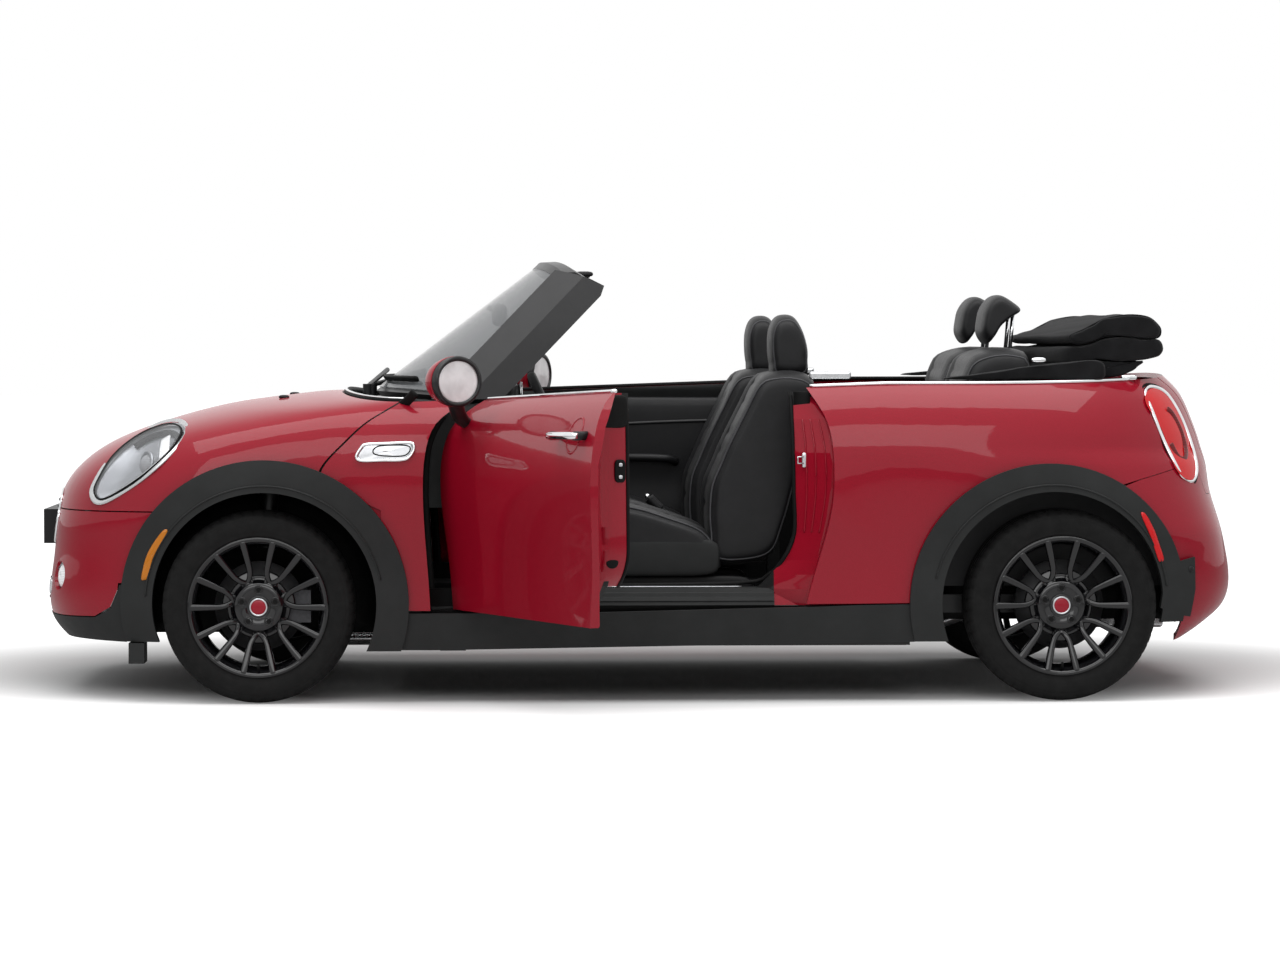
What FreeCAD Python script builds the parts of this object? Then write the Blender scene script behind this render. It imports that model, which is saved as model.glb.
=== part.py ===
"""Small two-door convertible car with its soft top folded, as separate named pieces.

Units are millimetres. -X is the front of the car, +X the rear, +Y the car's right side and +Z up.
The origin is on the ground under the middle of the front axle. The left door stands open at rest.
"""
import FreeCAD
import Part
import math
import os

os.makedirs("parts", exist_ok=True)

V = FreeCAD.Vector
X_AXIS = V(1, 0, 0)
Y_AXIS = V(0, 1, 0)
Z_AXIS = V(0, 0, 1)

# Driving dimensions. Pieces behind the cabin's middle are placed from the rear axle.
WHEELBASE = 2495.0
AXLE = WHEELBASE
HUB_Z = 299.0
TYRE_R = HUB_Z
TYRE_W = 195.0
WHEEL_Y = 737.0
STEER_Y = 715.0
DISC_R = 140.0

PANEL_T = 20.0
TRIM_PROUD = 20.0
TRIM_DEEP = 12.0
SHUT_GAP = 9.0
SEAM_GAP = 8.0
POST_GAP = 14.0
SILL_GAP = 11.0
LIGHT_GAP = 2.0

DOOR_OPEN_DEG = 69.5
DOOR_FRONT_X = 518.0
HINGE_BEHIND_EDGE = 99.0
HINGE_X = DOOR_FRONT_X + HINGE_BEHIND_EDGE
HINGE_Y = 825.0
HINGE_ROOM_R = 136.0

ARCH_FRONT_X = 18.0
ARCH_REAR_X = AXLE - 29.0
ARCH_REAR_TRIM_X = AXLE - 42.0
ARCH_Z = 308.0
ARCH_R = 347.0
ARCH_TRIM_R = 447.0
ARCH_REAR_TRIM_R = 434.0
LINER_R = 375.0
LINER_T = 8.0

FRONT_STRUT = (V(10, -560, 470), V(30, -545, 770))

FLOOR_Z = 170.0
FLOOR_T = 18.0
CABIN_Y = 700.0
SILL_Z = 350.0
BUMPER_SEAM_Z = 592.0
BOOT_SEAM_Z = 636.0
BOOT_HALF_W = 446.0

# Rows of the outer surface from the bottom edge to the belt: nose point, side, tail point.
# (nose x, nose z, half width, side z front, side z rear, tail distance behind the axle, tail z)
ROWS = [
    (-625.0, 175.0, 795.0, 165.0, 160.0, 465.0, 225.0),
    (-684.0, 240.0, 811.0, 265.0, 265.0, 573.0, 285.0),
    (-697.0, 325.0, 818.0, 365.0, 365.0, 600.0, 370.0),
    (-684.0, 430.0, 826.0, 465.0, 468.0, 587.0, 455.0),
    (-674.0, 535.0, 838.0, 565.0, 570.0, 561.0, 570.0),
    (-662.0, 620.0, 846.0, 655.0, 665.0, 543.0, 650.0),
    (-622.0, 700.0, 846.0, 735.0, 752.0, 539.0, 735.0),
    (-525.0, 785.0, 836.0, 805.0, 830.0, 520.0, 815.0),
    (-357.0, 858.0, 815.0, 862.0, 897.0, 495.0, 885.0),
    (-90.0, 926.0, 782.0, 905.0, 955.0, 463.0, 955.0),
    (234.0, 959.0, 745.0, 932.0, 995.0, 410.0, 1015.0),
]
TOP_ROW = float(len(ROWS) - 1)
CURVE_STEPS = 4
FRONT_MID_X = (430.0, 480.0)
FRONT_POWER = (4.4, 2.7)
REAR_MID_X = (AXLE - 245.0, AXLE - 545.0)
REAR_POWER = (4.6, 3.4)
REAR_ROUNDING = (3.5, 3.0)
CROWN_POWER = 2.2
FRONT_REF_X = 450.0
REAR_REF_X = AXLE - 295.0


class Curve:
    """Natural cubic curve through values at 0, 1, 2, ..."""

    def __init__(self, values):
        n = len(values)
        low = [0.0] * n
        diag = [1.0] * n
        rhs = [0.0] * n
        for i in range(1, n - 1):
            diag[i] = 4.0
            low[i] = 1.0
            rhs[i] = 6.0 * (values[i + 1] - 2.0 * values[i] + values[i - 1])
        for i in range(2, n - 1):
            factor = 1.0 / diag[i - 1]
            diag[i] -= factor
            rhs[i] -= factor * rhs[i - 1]
        self.bend = [0.0] * n
        for i in range(n - 2, 0, -1):
            self.bend[i] = (rhs[i] - self.bend[i + 1]) / diag[i]
        self.values = values

    def at(self, t):
        i = min(max(int(t), 0), len(self.values) - 2)
        f = t - i
        g = 1.0 - f
        low = self.values[i] * g + self.bend[i] * (g ** 3 - g) / 6.0
        high = self.values[i + 1] * f + self.bend[i + 1] * (f ** 3 - f) / 6.0
        return low + high


NOSE_X, NOSE_Z, HALF_W, SIDE_Z_FRONT, SIDE_Z_REAR, TAIL_LENGTH, TAIL_Z = [
    Curve([row[k] for row in ROWS]) for k in range(7)]


def blend(pair, t):
    return pair[0] + (pair[1] - pair[0]) * t


def side_z(x, v):
    """Height of row v on the straight side of the body at x."""
    share = (x - FRONT_REF_X) / (REAR_REF_X - FRONT_REF_X)
    return blend((SIDE_Z_FRONT.at(v), SIDE_Z_REAR.at(v)), share)


def body_point(u, v):
    """Point of the left outer surface: u 0 nose, 1 to 2 straight side, 3 tail; v is the row."""
    top = max(0.0, (v - 4.0) / (TOP_ROW - 4.0))
    top_rear = min(max((v - REAR_ROUNDING[0]) / REAR_ROUNDING[1], 0.0), 1.0)
    width = HALF_W.at(v)
    x_front = blend(FRONT_MID_X, top)
    x_rear = blend(REAR_MID_X, top_rear)
    if 1.0 <= u <= 2.0:
        x = x_front + (x_rear - x_front) * (u - 1.0)
        return V(x, -width, side_z(x, v))
    if u < 1.0:
        turn = u * math.pi / 2.0
        power = 2.0 / blend(FRONT_POWER, top)
        x_mid, x_end, z_end = x_front, NOSE_X.at(v), NOSE_Z.at(v)
    else:
        turn = (3.0 - u) * math.pi / 2.0
        power = 2.0 / blend(REAR_POWER, top_rear)
        x_mid, x_end, z_end = x_rear, AXLE + TAIL_LENGTH.at(v), TAIL_Z.at(v)
    side = math.copysign(abs(math.sin(turn)) ** power, turn)
    along = abs(math.cos(turn)) ** power
    x = x_mid + (x_end - x_mid) * along
    rise = abs(side) ** CROWN_POWER
    return V(x, -width * side, z_end + (side_z(x_mid, v) - z_end) * rise)


def body_normal(u, v):
    """Unit normal of the outer surface, pointing outwards."""
    step = 0.02
    centre = 0.0 if u < 1.5 else 3.0
    if abs(u - centre) < 0.05:
        along = V(0, -1, 0) if centre == 0.0 else V(0, 1, 0)
    else:
        along = body_point(u + step, v) - body_point(u - step, v)
    low = max(v - 0.1, 0.0)
    high = min(v + 0.1, TOP_ROW)
    rise = body_point(u, high) - body_point(u, low)
    normal = along.cross(rise)
    normal.normalize()
    return normal


def loop_columns(kind):
    """Loop positions of the columns of a patch: the nose, the left side or the tail."""
    bend_steps = [0.0, 0.07, 0.16, 0.27, 0.38, 0.49, 0.60, 0.71, 0.82, 0.92]
    if kind == "front":
        half = bend_steps + [1.04, 1.18, 1.35]
        return [-u for u in reversed(half[1:])] + half
    if kind == "rear":
        half = bend_steps + [1.03, 1.15, 1.35]
        return [3.0 - u for u in reversed(half)] + [3.0 + u for u in half[1:]]
    return [0.92] + [1.0 + 0.1 * i for i in range(11)] + [2.08]


def patch_points(kind, offset):
    """Grid of points on the outer surface moved outwards by offset."""
    grid = []
    for u in loop_columns(kind):
        column = []
        for step in range(int(2 * TOP_ROW) + 1):
            v = step / 2.0
            point = body_point(u if u <= 3.0 else 6.0 - u, v)
            normal = body_normal(abs(u) if u <= 3.0 else 6.0 - u, v)
            if u < 0.0:
                point = body_point(-u, v)
                point.y = -point.y
                normal.y = -normal.y
            if u > 3.0:
                point.y = -point.y
                normal.y = -normal.y
            column.append(point + normal * offset)
        grid.append(column)
    return grid


def surface(points):
    result = Part.BSplineSurface()
    result.interpolate(points)
    return result


def between(outer_points, inner_points):
    """Solid between two grids of points."""
    outer = surface(outer_points)
    inner = surface(inner_points)
    faces = [outer.toShape(), inner.toShape()]
    a0, a1, b0, b1 = outer.bounds()
    c0, c1, d0, d1 = inner.bounds()
    for first, second in ((outer.uIso(a0), inner.uIso(c0)), (outer.uIso(a1), inner.uIso(c1)),
                          (outer.vIso(b0), inner.vIso(d0)), (outer.vIso(b1), inner.vIso(d1))):
        faces.append(Part.makeRuledSurface(first.toShape(), second.toShape()))
    shell = Part.makeCompound(faces)
    shell.sewShape()
    solid = Part.Solid(shell if shell.ShapeType == "Shell" else shell.Shells[0])
    if solid.Volume < 0:
        solid.reverse()
    return solid


def thick_patch(kind, out, depth):
    """Solid between the body surface moved out by one distance and moved in by another."""
    return between(patch_points(kind, out), patch_points(kind, -depth))


def box(x0, x1, y0, y1, z0, z1):
    return Part.makeBox(x1 - x0, y1 - y0, z1 - z0, V(x0, y0, z0))


def soft_box(x0, x1, y0, y1, z0, z1, radius):
    shape = box(x0, x1, y0, y1, z0, z1)
    return shape.makeFillet(radius, shape.Edges)


def mirrored(shape):
    return shape.mirror(V(0, 0, 0), Y_AXIS)


def both(shape):
    return Part.makeCompound([shape, mirrored(shape)])


def side_prism(outline, y0, y1):
    """Side-view outline of (x, z) points extruded across the car."""
    points = [V(x, y0, z) for x, z in outline]
    return Part.Face(Part.makePolygon(points + [points[0]])).extrude(V(0, y1 - y0, 0))


def curved_prism(runs, y0, y1):
    """Side-view outline of runs of (x, z) points: two points are a line, more a smooth curve."""
    outline = []
    for run in runs:
        if len(run) > 2:
            curve = Part.BSplineCurve()
            curve.interpolate([V(x, 0, z) for x, z in run])
            run = [(p.x, p.z) for p in curve.discretize(Number=CURVE_STEPS * (len(run) - 1) + 1)]
        if outline and math.dist(outline[-1], run[0]) < 0.01:
            run = run[1:]
        outline += run
    if math.dist(outline[0], outline[-1]) < 0.01:
        outline = outline[:-1]
    return side_prism(outline, y0, y1)


def oval_prism(outline, shrink, y0, y1):
    """Closed smooth side-view outline, drawn in by shrink, extruded across the car."""
    count = len(outline)
    points = []
    for i in range(count):
        before = outline[i - 1]
        after = outline[(i + 1) % count]
        along = V(after[0] - before[0], 0, after[1] - before[1])
        along.normalize()
        points.append(V(outline[i][0], y0, outline[i][1]) + V(along.z, 0, -along.x) * shrink)
    curve = Part.BSplineCurve()
    curve.interpolate(Points=points, PeriodicFlag=True)
    edge = curve.discretize(Number=CURVE_STEPS * count + 1)
    return Part.Face(Part.makePolygon(edge[:-1] + [edge[0]])).extrude(V(0, y1 - y0, 0))


def front_prism(outline, x0, x1):
    """Front-view outline of (y, z) points extruded along the car."""
    points = [V(x0, y, z) for y, z in outline]
    return Part.Face(Part.makePolygon(points + [points[0]])).extrude(V(x1 - x0, 0, 0))


def plan_prism(outline, z0, z1):
    """Plan outline of (x, y) points extruded upwards."""
    points = [V(x, y, z0) for x, y in outline]
    return Part.Face(Part.makePolygon(points + [points[0]])).extrude(V(0, 0, z1 - z0))


def plan_loft(levels):
    """Solid through plan outlines, each a height and a list of (x, y) points."""
    wires = []
    for z, outline in levels:
        points = [V(x, y, z) for x, y in outline]
        wires.append(Part.makePolygon(points + [points[0]]))
    return Part.makeLoft(wires, True, True)


def rod(start, end, radius):
    return Part.makeCylinder(radius, (end - start).Length, start, end - start)


def across(x, z, radius, y0, y1):
    """Cylinder along Y."""
    return Part.makeCylinder(radius, y1 - y0, V(x, y0, z), Y_AXIS)


def pipe(points, radius):
    """Round bar through points with ball corners."""
    parts = [rod(points[i], points[i + 1], radius) for i in range(len(points) - 1)]
    parts += [Part.makeSphere(radius, p) for p in points[1:-1]]
    return parts[0].fuse(parts[1:]).removeSplitter()


def union(parts):
    return parts[0].fuse(parts[1:]).removeSplitter()


def solids(shape):
    return Part.makeCompound(shape.Solids)


def save(shape, node):
    kept = solids(shape)
    if not kept.Solids:
        raise ValueError(node + " has no solid")
    kept.exportStep("parts/" + node + ".step")


# Outlines seen from the side, as (x, z).
FENDER_REAR = [(531.0, 287.0), (530.0, 309.0), (513.0, 551.0), (509.0, 672.0), (518.0, 785.0), (553.0, 871.0),
               (605.0, 914.0), (640.0, 955.0)]
BONNET_SEAM = [(180.0, 690.0), (188.0, 719.0), (250.0, 795.0), (334.0, 872.0), (434.0, 933.0), (482.0, 975.0)]
HEADLAMP = [(-520.0, 640.0), (-514.0, 676.0), (-461.0, 766.0), (-375.0, 836.0), (-284.0, 868.0),
            (-233.0, 851.0), (-259.0, 789.0), (-352.0, 703.0), (-454.0, 637.0), (-500.0, 621.0)]
TAIL_LAMP = [(AXLE + 289.0, 958.0), (AXLE + 318.0, 975.0), (AXLE + 372.0, 948.0), (AXLE + 426.0, 850.0),
             (AXLE + 454.0, 740.0), (AXLE + 438.0, 684.0), (AXLE + 397.0, 692.0), (AXLE + 352.0, 775.0),
             (AXLE + 310.0, 880.0)]
TAIL_LAMP_INNER_Y = 470.0
TRIM_CORNER = [(AXLE + 310, 290), (AXLE + 368, 267), (AXLE + 412, 259), (AXLE + 426, 347), (AXLE + 423, 447),
               (AXLE + 330, 425)]
FOG_R = 46.0
FOG_Y = 560.0
FOG_Z = 385.0
TIP_R = 32.0
TIP_Y = 45.0
TIP_Z = 248.0

# Rear edge of the door opening: height, seal line x and y, panel edge x and y.
SHUT_ROWS = [
    (200.0, AXLE - 895.0, 735.0, AXLE - 805.0, 772.0),
    (350.0, AXLE - 950.0, 748.0, AXLE - 784.0, 790.0),
    (395.0, AXLE - 905.0, 752.0, AXLE - 771.0, 795.0),
    (440.0, AXLE - 863.0, 755.0, AXLE - 759.0, 800.0),
    (527.0, AXLE - 829.0, 760.0, AXLE - 738.0, 812.0),
    (651.0, AXLE - 832.0, 768.0, AXLE - 715.0, 825.0),
    (775.0, AXLE - 835.0, 766.0, AXLE - 715.0, 822.0),
    (879.0, AXLE - 838.0, 752.0, AXLE - 737.0, 792.0),
    (976.0, AXLE - 841.0, 718.0, AXLE - 794.0, 738.0),
    (1100.0, AXLE - 845.0, 706.0, AXLE - 804.0, 712.0),
]
QUARTER_FRONT = [(AXLE - 797.0, 306.0), (AXLE - 754.0, 462.0), (AXLE - 718.0, 620.0), (AXLE - 714.0, 740.0),
                 (AXLE - 737.0, 879.0), (AXLE - 794.0, 976.0), (AXLE - 830.0, 1040.0)]


def shifted(outline, dx, dz=0.0):
    return [(x + dx, z + dz) for x, z in outline]


def disc(x, radius, y0=-1000.0, y1=1000.0):
    """Disc across the body at a wheel arch."""
    return across(x, ARCH_Z, radius, y0, y1)


def grille_prism(grow):
    outline = [(-430 - grow, 632 + grow), (-470 - grow, 572), (-400 - grow, 500 - grow),
               (400 + grow, 500 - grow), (470 + grow, 572), (430 + grow, 632 + grow)]
    return front_prism(outline, -900, -450)


def lower_grille_prism(grow):
    outline = [(-330 - grow, 390 + grow), (-380 - grow, 345), (-350 - grow, 290 - grow),
               (350 + grow, 290 - grow), (380 + grow, 345), (330 + grow, 390 + grow)]
    return front_prism(outline, -900, -450)


def fog_prism(radius):
    one = Part.makeCylinder(radius, 300, V(-800, -FOG_Y, FOG_Z), X_AXIS)
    return one.fuse(mirrored(one))


def lamp_prism(outline, shrink, inner_y):
    """Left and right lamp outlines across the body."""
    one = oval_prism(outline, shrink, -1000.0, -inner_y)
    return one.fuse(mirrored(one))


def bracket(x0, x1):
    """Block that carries an outer panel on its post."""
    return box(x0, x1, -832, -822.8, 660, 730)


def make_front_panels(front):
    """Bonnet, front bumper and the side panels behind the front wheels."""
    arch = disc(ARCH_FRONT_X, ARCH_TRIM_R)
    lamps = lamp_prism(HEADLAMP, 0.0, 330.0)
    seam_top = BONNET_SEAM[-1]
    area = curved_prism([[(-900, BUMPER_SEAM_Z + 4), (-100, BUMPER_SEAM_Z + 4)], BONNET_SEAM,
                         [(seam_top[0], 1150), (-900, 1150)]], -1000, 1000)
    bonnet = front.common(area).cut(arch).cut(lamps).cut(grille_prism(5.0))
    area = side_prism([(-900, 262), (-626, 262), (-515, 266), (-463, 297), (-440, 350), (-437, 372),
                       (-100, 372), (-100, BUMPER_SEAM_Z), (-900, BUMPER_SEAM_Z)], -1000, 1000)
    bumper = front.common(area).cut(arch).cut(grille_prism(0.0))
    bumper = bumper.cut(lower_grille_prism(0.0)).cut(fog_prism(FOG_R))
    seam = shifted(BONNET_SEAM, SEAM_GAP)
    area = curved_prism([[(380, 287), (380, 600)], seam, [(seam[-1][0], 1150), (660, 1150)],
                         FENDER_REAR[::-1]], -1000, -500)
    fender = front.common(area).cut(arch).fuse(bracket(485, 504))
    return bonnet, bumper, fender


def make_rear_panels(rear):
    """Quarter panels, rear bumper and drop-down boot lid."""
    arch = disc(ARCH_REAR_TRIM_X, ARCH_REAR_TRIM_R)
    lamps = lamp_prism(TAIL_LAMP, 0.0, TAIL_LAMP_INNER_Y)
    side_seam = [(AXLE + 251, 690), (AXLE + 398, 727), (AXLE + 465, 705), (AXLE + 490, BOOT_SEAM_Z)]
    top = side_seam[-1]
    area = curved_prism([QUARTER_FRONT, [(AXLE - 830, 1200), (AXLE + 600, 1200)],
                         [(AXLE + 600, BOOT_SEAM_Z + 2), (top[0], BOOT_SEAM_Z + 2)],
                         [(AXLE + 465, 707), (AXLE + 398, 729)], [(AXLE + 251, 692), (AXLE + 100, 650)],
                         [(AXLE + 100, 311), QUARTER_FRONT[0]]], -1000, -455)
    quarter = rear.common(area).cut(arch).cut(lamps).fuse(bracket(AXLE - 690, AXLE - 605))
    area = side_prism([(AXLE + 5, 100), (AXLE + 800, 100), (AXLE + 800, BOOT_SEAM_Z)] + side_seam[::-1]
                      + [(AXLE + 5, 600)], -1000, 1000)
    bumper = rear.common(area).cut(arch).cut(lamps).cut(both(side_prism(TRIM_CORNER, -1000, -500)))
    for y in (-TIP_Y, TIP_Y):
        bumper = bumper.cut(rod(V(AXLE, y, TIP_Z), V(AXLE + 700, y, TIP_Z), TIP_R + 6))
    area = side_prism([(AXLE + 205, BOOT_SEAM_Z + 8), (AXLE + 805, BOOT_SEAM_Z + 8), (AXLE + 805, 1200),
                       (AXLE + 205, 1200)], -BOOT_HALF_W, BOOT_HALF_W)
    return quarter, bumper, rear.common(area)


def shut_post(gap):
    """Rear post of the door opening with its slanted shut face, grown forwards by gap."""
    levels = []
    for z, seal_x, seal_y, edge_x, edge_y in SHUT_ROWS:
        levels.append((z, [(seal_x - gap, -CABIN_Y + gap), (seal_x - gap, -seal_y), (edge_x - gap - 2, -edge_y),
                           (AXLE - 595, -edge_y), (AXLE - 595, -CABIN_Y + gap)]))
    return plan_loft(levels)


def sill_prism(gap):
    """Inner sill with its sloping step; grown by gap it is the room the door leaves for it."""
    if gap:
        outline = [(-600, 100), (-600, SILL_Z + gap), (-758, SILL_Z + gap), (-789, 308), (-789, 100)]
    else:
        outline = [(-690, 172), (-690, SILL_Z), (-754, SILL_Z), (-776, 298), (-768, 262), (-750, 172)]
    return front_prism(outline, 425, AXLE - 480)


def door_inner_y(z):
    """Distance of the door's inner side from the middle of the car."""
    share = min(max((z - 840.0) / 110.0, 0.0), 1.0)
    return 742.0 - 44.0 * share


def door_layer(depth_out, depth_in):
    """Grid of the left door's skin, or of its inner side moved inwards by depth_in."""
    skin = patch_points("side", 0.0)
    grid = []
    for column in skin:
        grid.append([V(p.x, -door_inner_y(p.z) + depth_in, p.z) for p in column])
    return skin if depth_out else grid


def door_outline():
    """Closed door seen from the side."""
    rear = shifted(QUARTER_FRONT, -SHUT_GAP)
    front = shifted(FENDER_REAR, SHUT_GAP)
    low_front = (front[0][0], 288.0)
    front = [low_front] + front[1:]
    rear[0] = (rear[0][0], 308.0)
    return curved_prism([front[::-1], [low_front, rear[0]], rear, [(rear[-1][0], 1150), (front[-1][0], 1150)]],
                        -1000, -500)


def make_mirror():
    """Left mirror, door closed: arm and half-egg housing with its flat glass side to the rear."""
    arm = pipe([V(655, -790, 862), V(682, -838, 884), V(800, -905, 955), V(845, -918, 975)], 16)
    head = Part.makeSphere(1, V(0, 0, 0))
    grow = FreeCAD.Matrix()
    grow.scale(100, 94, 77)
    head = head.transformGeometry(grow).common(box(-150, 8, -150, 150, -150, 150))
    head.rotate(V(0, 0, 0), Z_AXIS, 22)
    head.translate(V(890, -925, 1000))
    return arm, head


def make_door():
    """Left door, closed: whole door slab with its handle, inner trim and mirror."""
    slab = between(door_layer(True, 0.0), door_layer(False, 0.0)).common(door_outline())
    slab = slab.cut(shut_post(POST_GAP)).cut(sill_prism(SILL_GAP))
    foot_room = box(425, 760, -790, -600, 200, SILL_Z + SILL_GAP)
    slab = slab.cut(foot_room)
    trim = between(door_layer(False, 22.0), door_layer(False, 0.0))
    inside = side_prism([(585, 375), (AXLE - 965, 375), (AXLE - 905, 420), (AXLE - 872, 480), (AXLE - 858, 560),
                         (AXLE - 860, 1150), (700, 1150), (700, 934), (614, 934), (604, 880)], -1000, -500)
    trim = trim.common(inside).fuse(box(980, 1330, -724, -690, 690, 745)).removeSplitter()
    bar = pipe([V(1500, -866, 851), V(1695, -862, 855)], 10)
    feet = rod(V(1508, -800, 851), V(1508, -866, 851), 10).fuse(rod(V(1688, -800, 855), V(1688, -862, 855), 10))
    arm, head = make_mirror()
    mirror = arm.cut(slab).fuse(head).removeSplitter()
    slab = slab.fuse(bar.fuse(feet)).removeSplitter()
    return slab, trim, mirror


def opened(shape):
    """Left door piece turned about its hinge to the open rest pose."""
    turned = shape.copy()
    turned.rotate(V(HINGE_X, -HINGE_Y, 0), Z_AXIS, -DOOR_OPEN_DEG)
    return turned


def make_doors():
    slab, trim, mirror = make_door()
    for name, shape in (("door", slab), ("door_trim", trim), ("mirror", mirror)):
        save(opened(shape), name + "_left")
        save(mirrored(shape), name + "_right")


def arch_ring(centre_x, trim_x, trim_r):
    return disc(trim_x, trim_r, -1000, -500).cut(disc(centre_x, ARCH_R, -1000, -500))


def make_trims():
    """Black arch and sill trims and front valance, a little proud of the paint."""
    front = thick_patch("front", TRIM_PROUD, TRIM_DEEP)
    rear = thick_patch("rear", TRIM_PROUD, TRIM_DEEP)
    side = thick_patch("side", 5.0, 22.0)
    above = side_prism([(-500, 190), (-200, 190), (200, 162), (500, 162), (500, 900), (-500, 900)], -1000, -500)
    arch_front = front.common(arch_ring(ARCH_FRONT_X, ARCH_FRONT_X, ARCH_TRIM_R).common(above))
    above = side_prism([(AXLE - 495, 188), (AXLE - 250, 188), (AXLE - 150, 245), (AXLE + 505, 245),
                        (AXLE + 505, 900), (AXLE - 495, 900)], -1000, -500)
    arch_rear = rear.common(arch_ring(ARCH_REAR_X, ARCH_REAR_TRIM_X, ARCH_REAR_TRIM_R).common(above))
    corner = rear.common(side_prism(TRIM_CORNER, -1000, -500))
    arch_rear = arch_rear.fuse(corner).removeSplitter()
    sill = side.common(side_prism([(300, 160), (AXLE - 635, 184), (AXLE - 295, 188), (AXLE - 295, 306),
                                   (AXLE - 636, 302), (AXLE - 824, 295), (1037, 280), (300, 278)], -1000, -500))
    sill = sill.cut(disc(ARCH_FRONT_X, ARCH_TRIM_R)).cut(disc(ARCH_REAR_TRIM_X, ARCH_REAR_TRIM_R))
    valance = thick_patch("front", 3.0, 14.0)
    valance = valance.common(side_prism([(-900, 259), (-626, 259), (-515, 262), (-461, 293), (-437, 347),
                                         (-434, 366), (-380, 366), (-380, 186), (-553, 190), (-900, 190)],
                                        -1000, 1000))
    valance = valance.cut(disc(ARCH_FRONT_X, ARCH_TRIM_R + 1))
    flap = box(-404, -356, -770, -660, 122, 186)
    half = union([arch_front, arch_rear, sill, flap])
    save(Part.makeCompound([half, mirrored(half)] + valance.Solids), "lower_trims")


def inner_profile(x, gap):
    """Front-view outline just inside the outer panels at x."""
    outline = []
    for v in range(len(ROWS)):
        inwards = body_normal(1.5, float(v)) * -(PANEL_T + gap)
        outline.append((inwards.y - HALF_W.at(v), side_z(x, v) + inwards.z))
    return outline + [(-CABIN_Y, outline[-1][1]), (-CABIN_Y, outline[0][1])]


def make_frame():
    """Painted inner body: posts, inner sills, deck, cross members and crash beams."""
    a_post = side_prism([(425, 200), (504, 200), (504, 880), (425, 870)], -840, -CABIN_Y)
    a_post = a_post.common(front_prism(inner_profile(430, 4), 300, 700))
    b_post = shut_post(0.0).common(front_prism(inner_profile(AXLE - 800, 4), AXLE - 1000, AXLE - 500))
    b_post = b_post.common(box(AXLE - 1000, AXLE - 600, -900, -CABIN_Y, 200, 972))
    sill = sill_prism(0.0)
    hinge_room = Part.makeCylinder(HINGE_ROOM_R, 1000, V(HINGE_X, -HINGE_Y, 283))
    pad = box(560, 640, -745, -700, 158, 175)
    side = union([a_post, b_post, sill.cut(hinge_room), pad])
    rail = box(-560, 400, -440, -380, 330, 430)
    leg = box(360, 400, -440, -380, FLOOR_Z, 430)
    rear_rail = box(AXLE - 495, AXLE + 430, -560, -490, 330, 430)
    half = union([side, rail, leg, rear_rail])
    firewall = box(400, 435, -730, 730, FLOOR_Z, 890)
    seat_wall = box(AXLE - 495, AXLE - 465, -720, 720, FLOOR_Z, 430)
    deck = plan_prism([(AXLE - 55, -620), (AXLE + 180, -590), (AXLE + 230, -480), (AXLE + 240, -385),
                       (AXLE + 320, -380), (AXLE + 320, 380), (AXLE + 240, 385), (AXLE + 230, 480),
                       (AXLE + 180, 590), (AXLE - 55, 620)], 970, 984)
    back = box(AXLE - 55, AXLE - 30, -560, 560, 330, 984)
    tail = box(AXLE + 430, AXLE + 465, -540, 540, 330, 620)
    beam = box(-590, -545, -480, 480, 330, 470)
    whole = union([half, mirrored(half), firewall, seat_wall, deck, back, tail, beam])
    save(whole, "body_frame")


def make_floor():
    floor = box(435, AXLE - 495, -690, 690, FLOOR_Z, FLOOR_Z + FLOOR_T)
    tunnel = box(435, AXLE - 495, -150, 150, FLOOR_Z + FLOOR_T, 330)
    tunnel = tunnel.makeFillet(40, [e for e in tunnel.Edges if abs(e.BoundBox.ZMin - 330) < 1
                                    and e.BoundBox.XLength > 1000])
    boot = box(AXLE - 30, AXLE + 430, -560, 560, 430, 442)
    under = box(AXLE - 465, AXLE - 55, -490, 490, 330, 345)
    save(Part.makeCompound([union([floor, tunnel]), boot, under]), "floor_pan")


def make_liners():
    """Half-round liners over the four wheels."""
    parts = []
    for x, inner, low in ((ARCH_FRONT_X - 8, 455.0, 310), (AXLE - 25, 630.0, 350)):
        outer = across(x, ARCH_Z, LINER_R, -788, -inner)
        hollow = across(x, ARCH_Z, LINER_R - LINER_T, -1000, -inner - LINER_T)
        parts.append(outer.cut(hollow).common(box(x - 500, x + 500, -900, 0, low, 900)))
    front, rear = parts
    front = front.cut(thick_patch("front", 80.0, TRIM_DEEP + 4.0))
    rear = rear.cut(thick_patch("rear", 80.0, TRIM_DEEP + 4.0))
    front = front.cut(box(-600, 600, -480, 0, 300, 440)).cut(rod(FRONT_STRUT[0], FRONT_STRUT[1], 40))
    save(Part.makeCompound([front, mirrored(front), rear, mirrored(rear)]), "arch_liners")


def screen_point(s, t):
    """Point of the windscreen's outer surface; s across from -1 to 1, t up from 0 to 1."""
    sag = 214.0 - 145.0 * t
    drop = 12.0 + 28.0 * t
    return V(366.0 + 511.0 * t + sag * abs(s) ** 2.2, s * (640.0 - 67.0 * t),
             985.0 + 387.0 * t - drop * s ** 4)


def screen_slab(s_max, t0, t1, out, depth):
    rows = 9
    columns = 17
    outer = []
    inner = []
    for i in range(columns):
        s = s_max * (2.0 * i / (columns - 1) - 1.0)
        aim = V(-0.66, s * 0.35, 0.75)
        aim.normalize()
        line = [screen_point(s, t0 + (t1 - t0) * j / (rows - 1.0)) for j in range(rows)]
        outer.append([p + aim * out for p in line])
        inner.append([p - aim * depth for p in line])
    return between(outer, inner)


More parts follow.
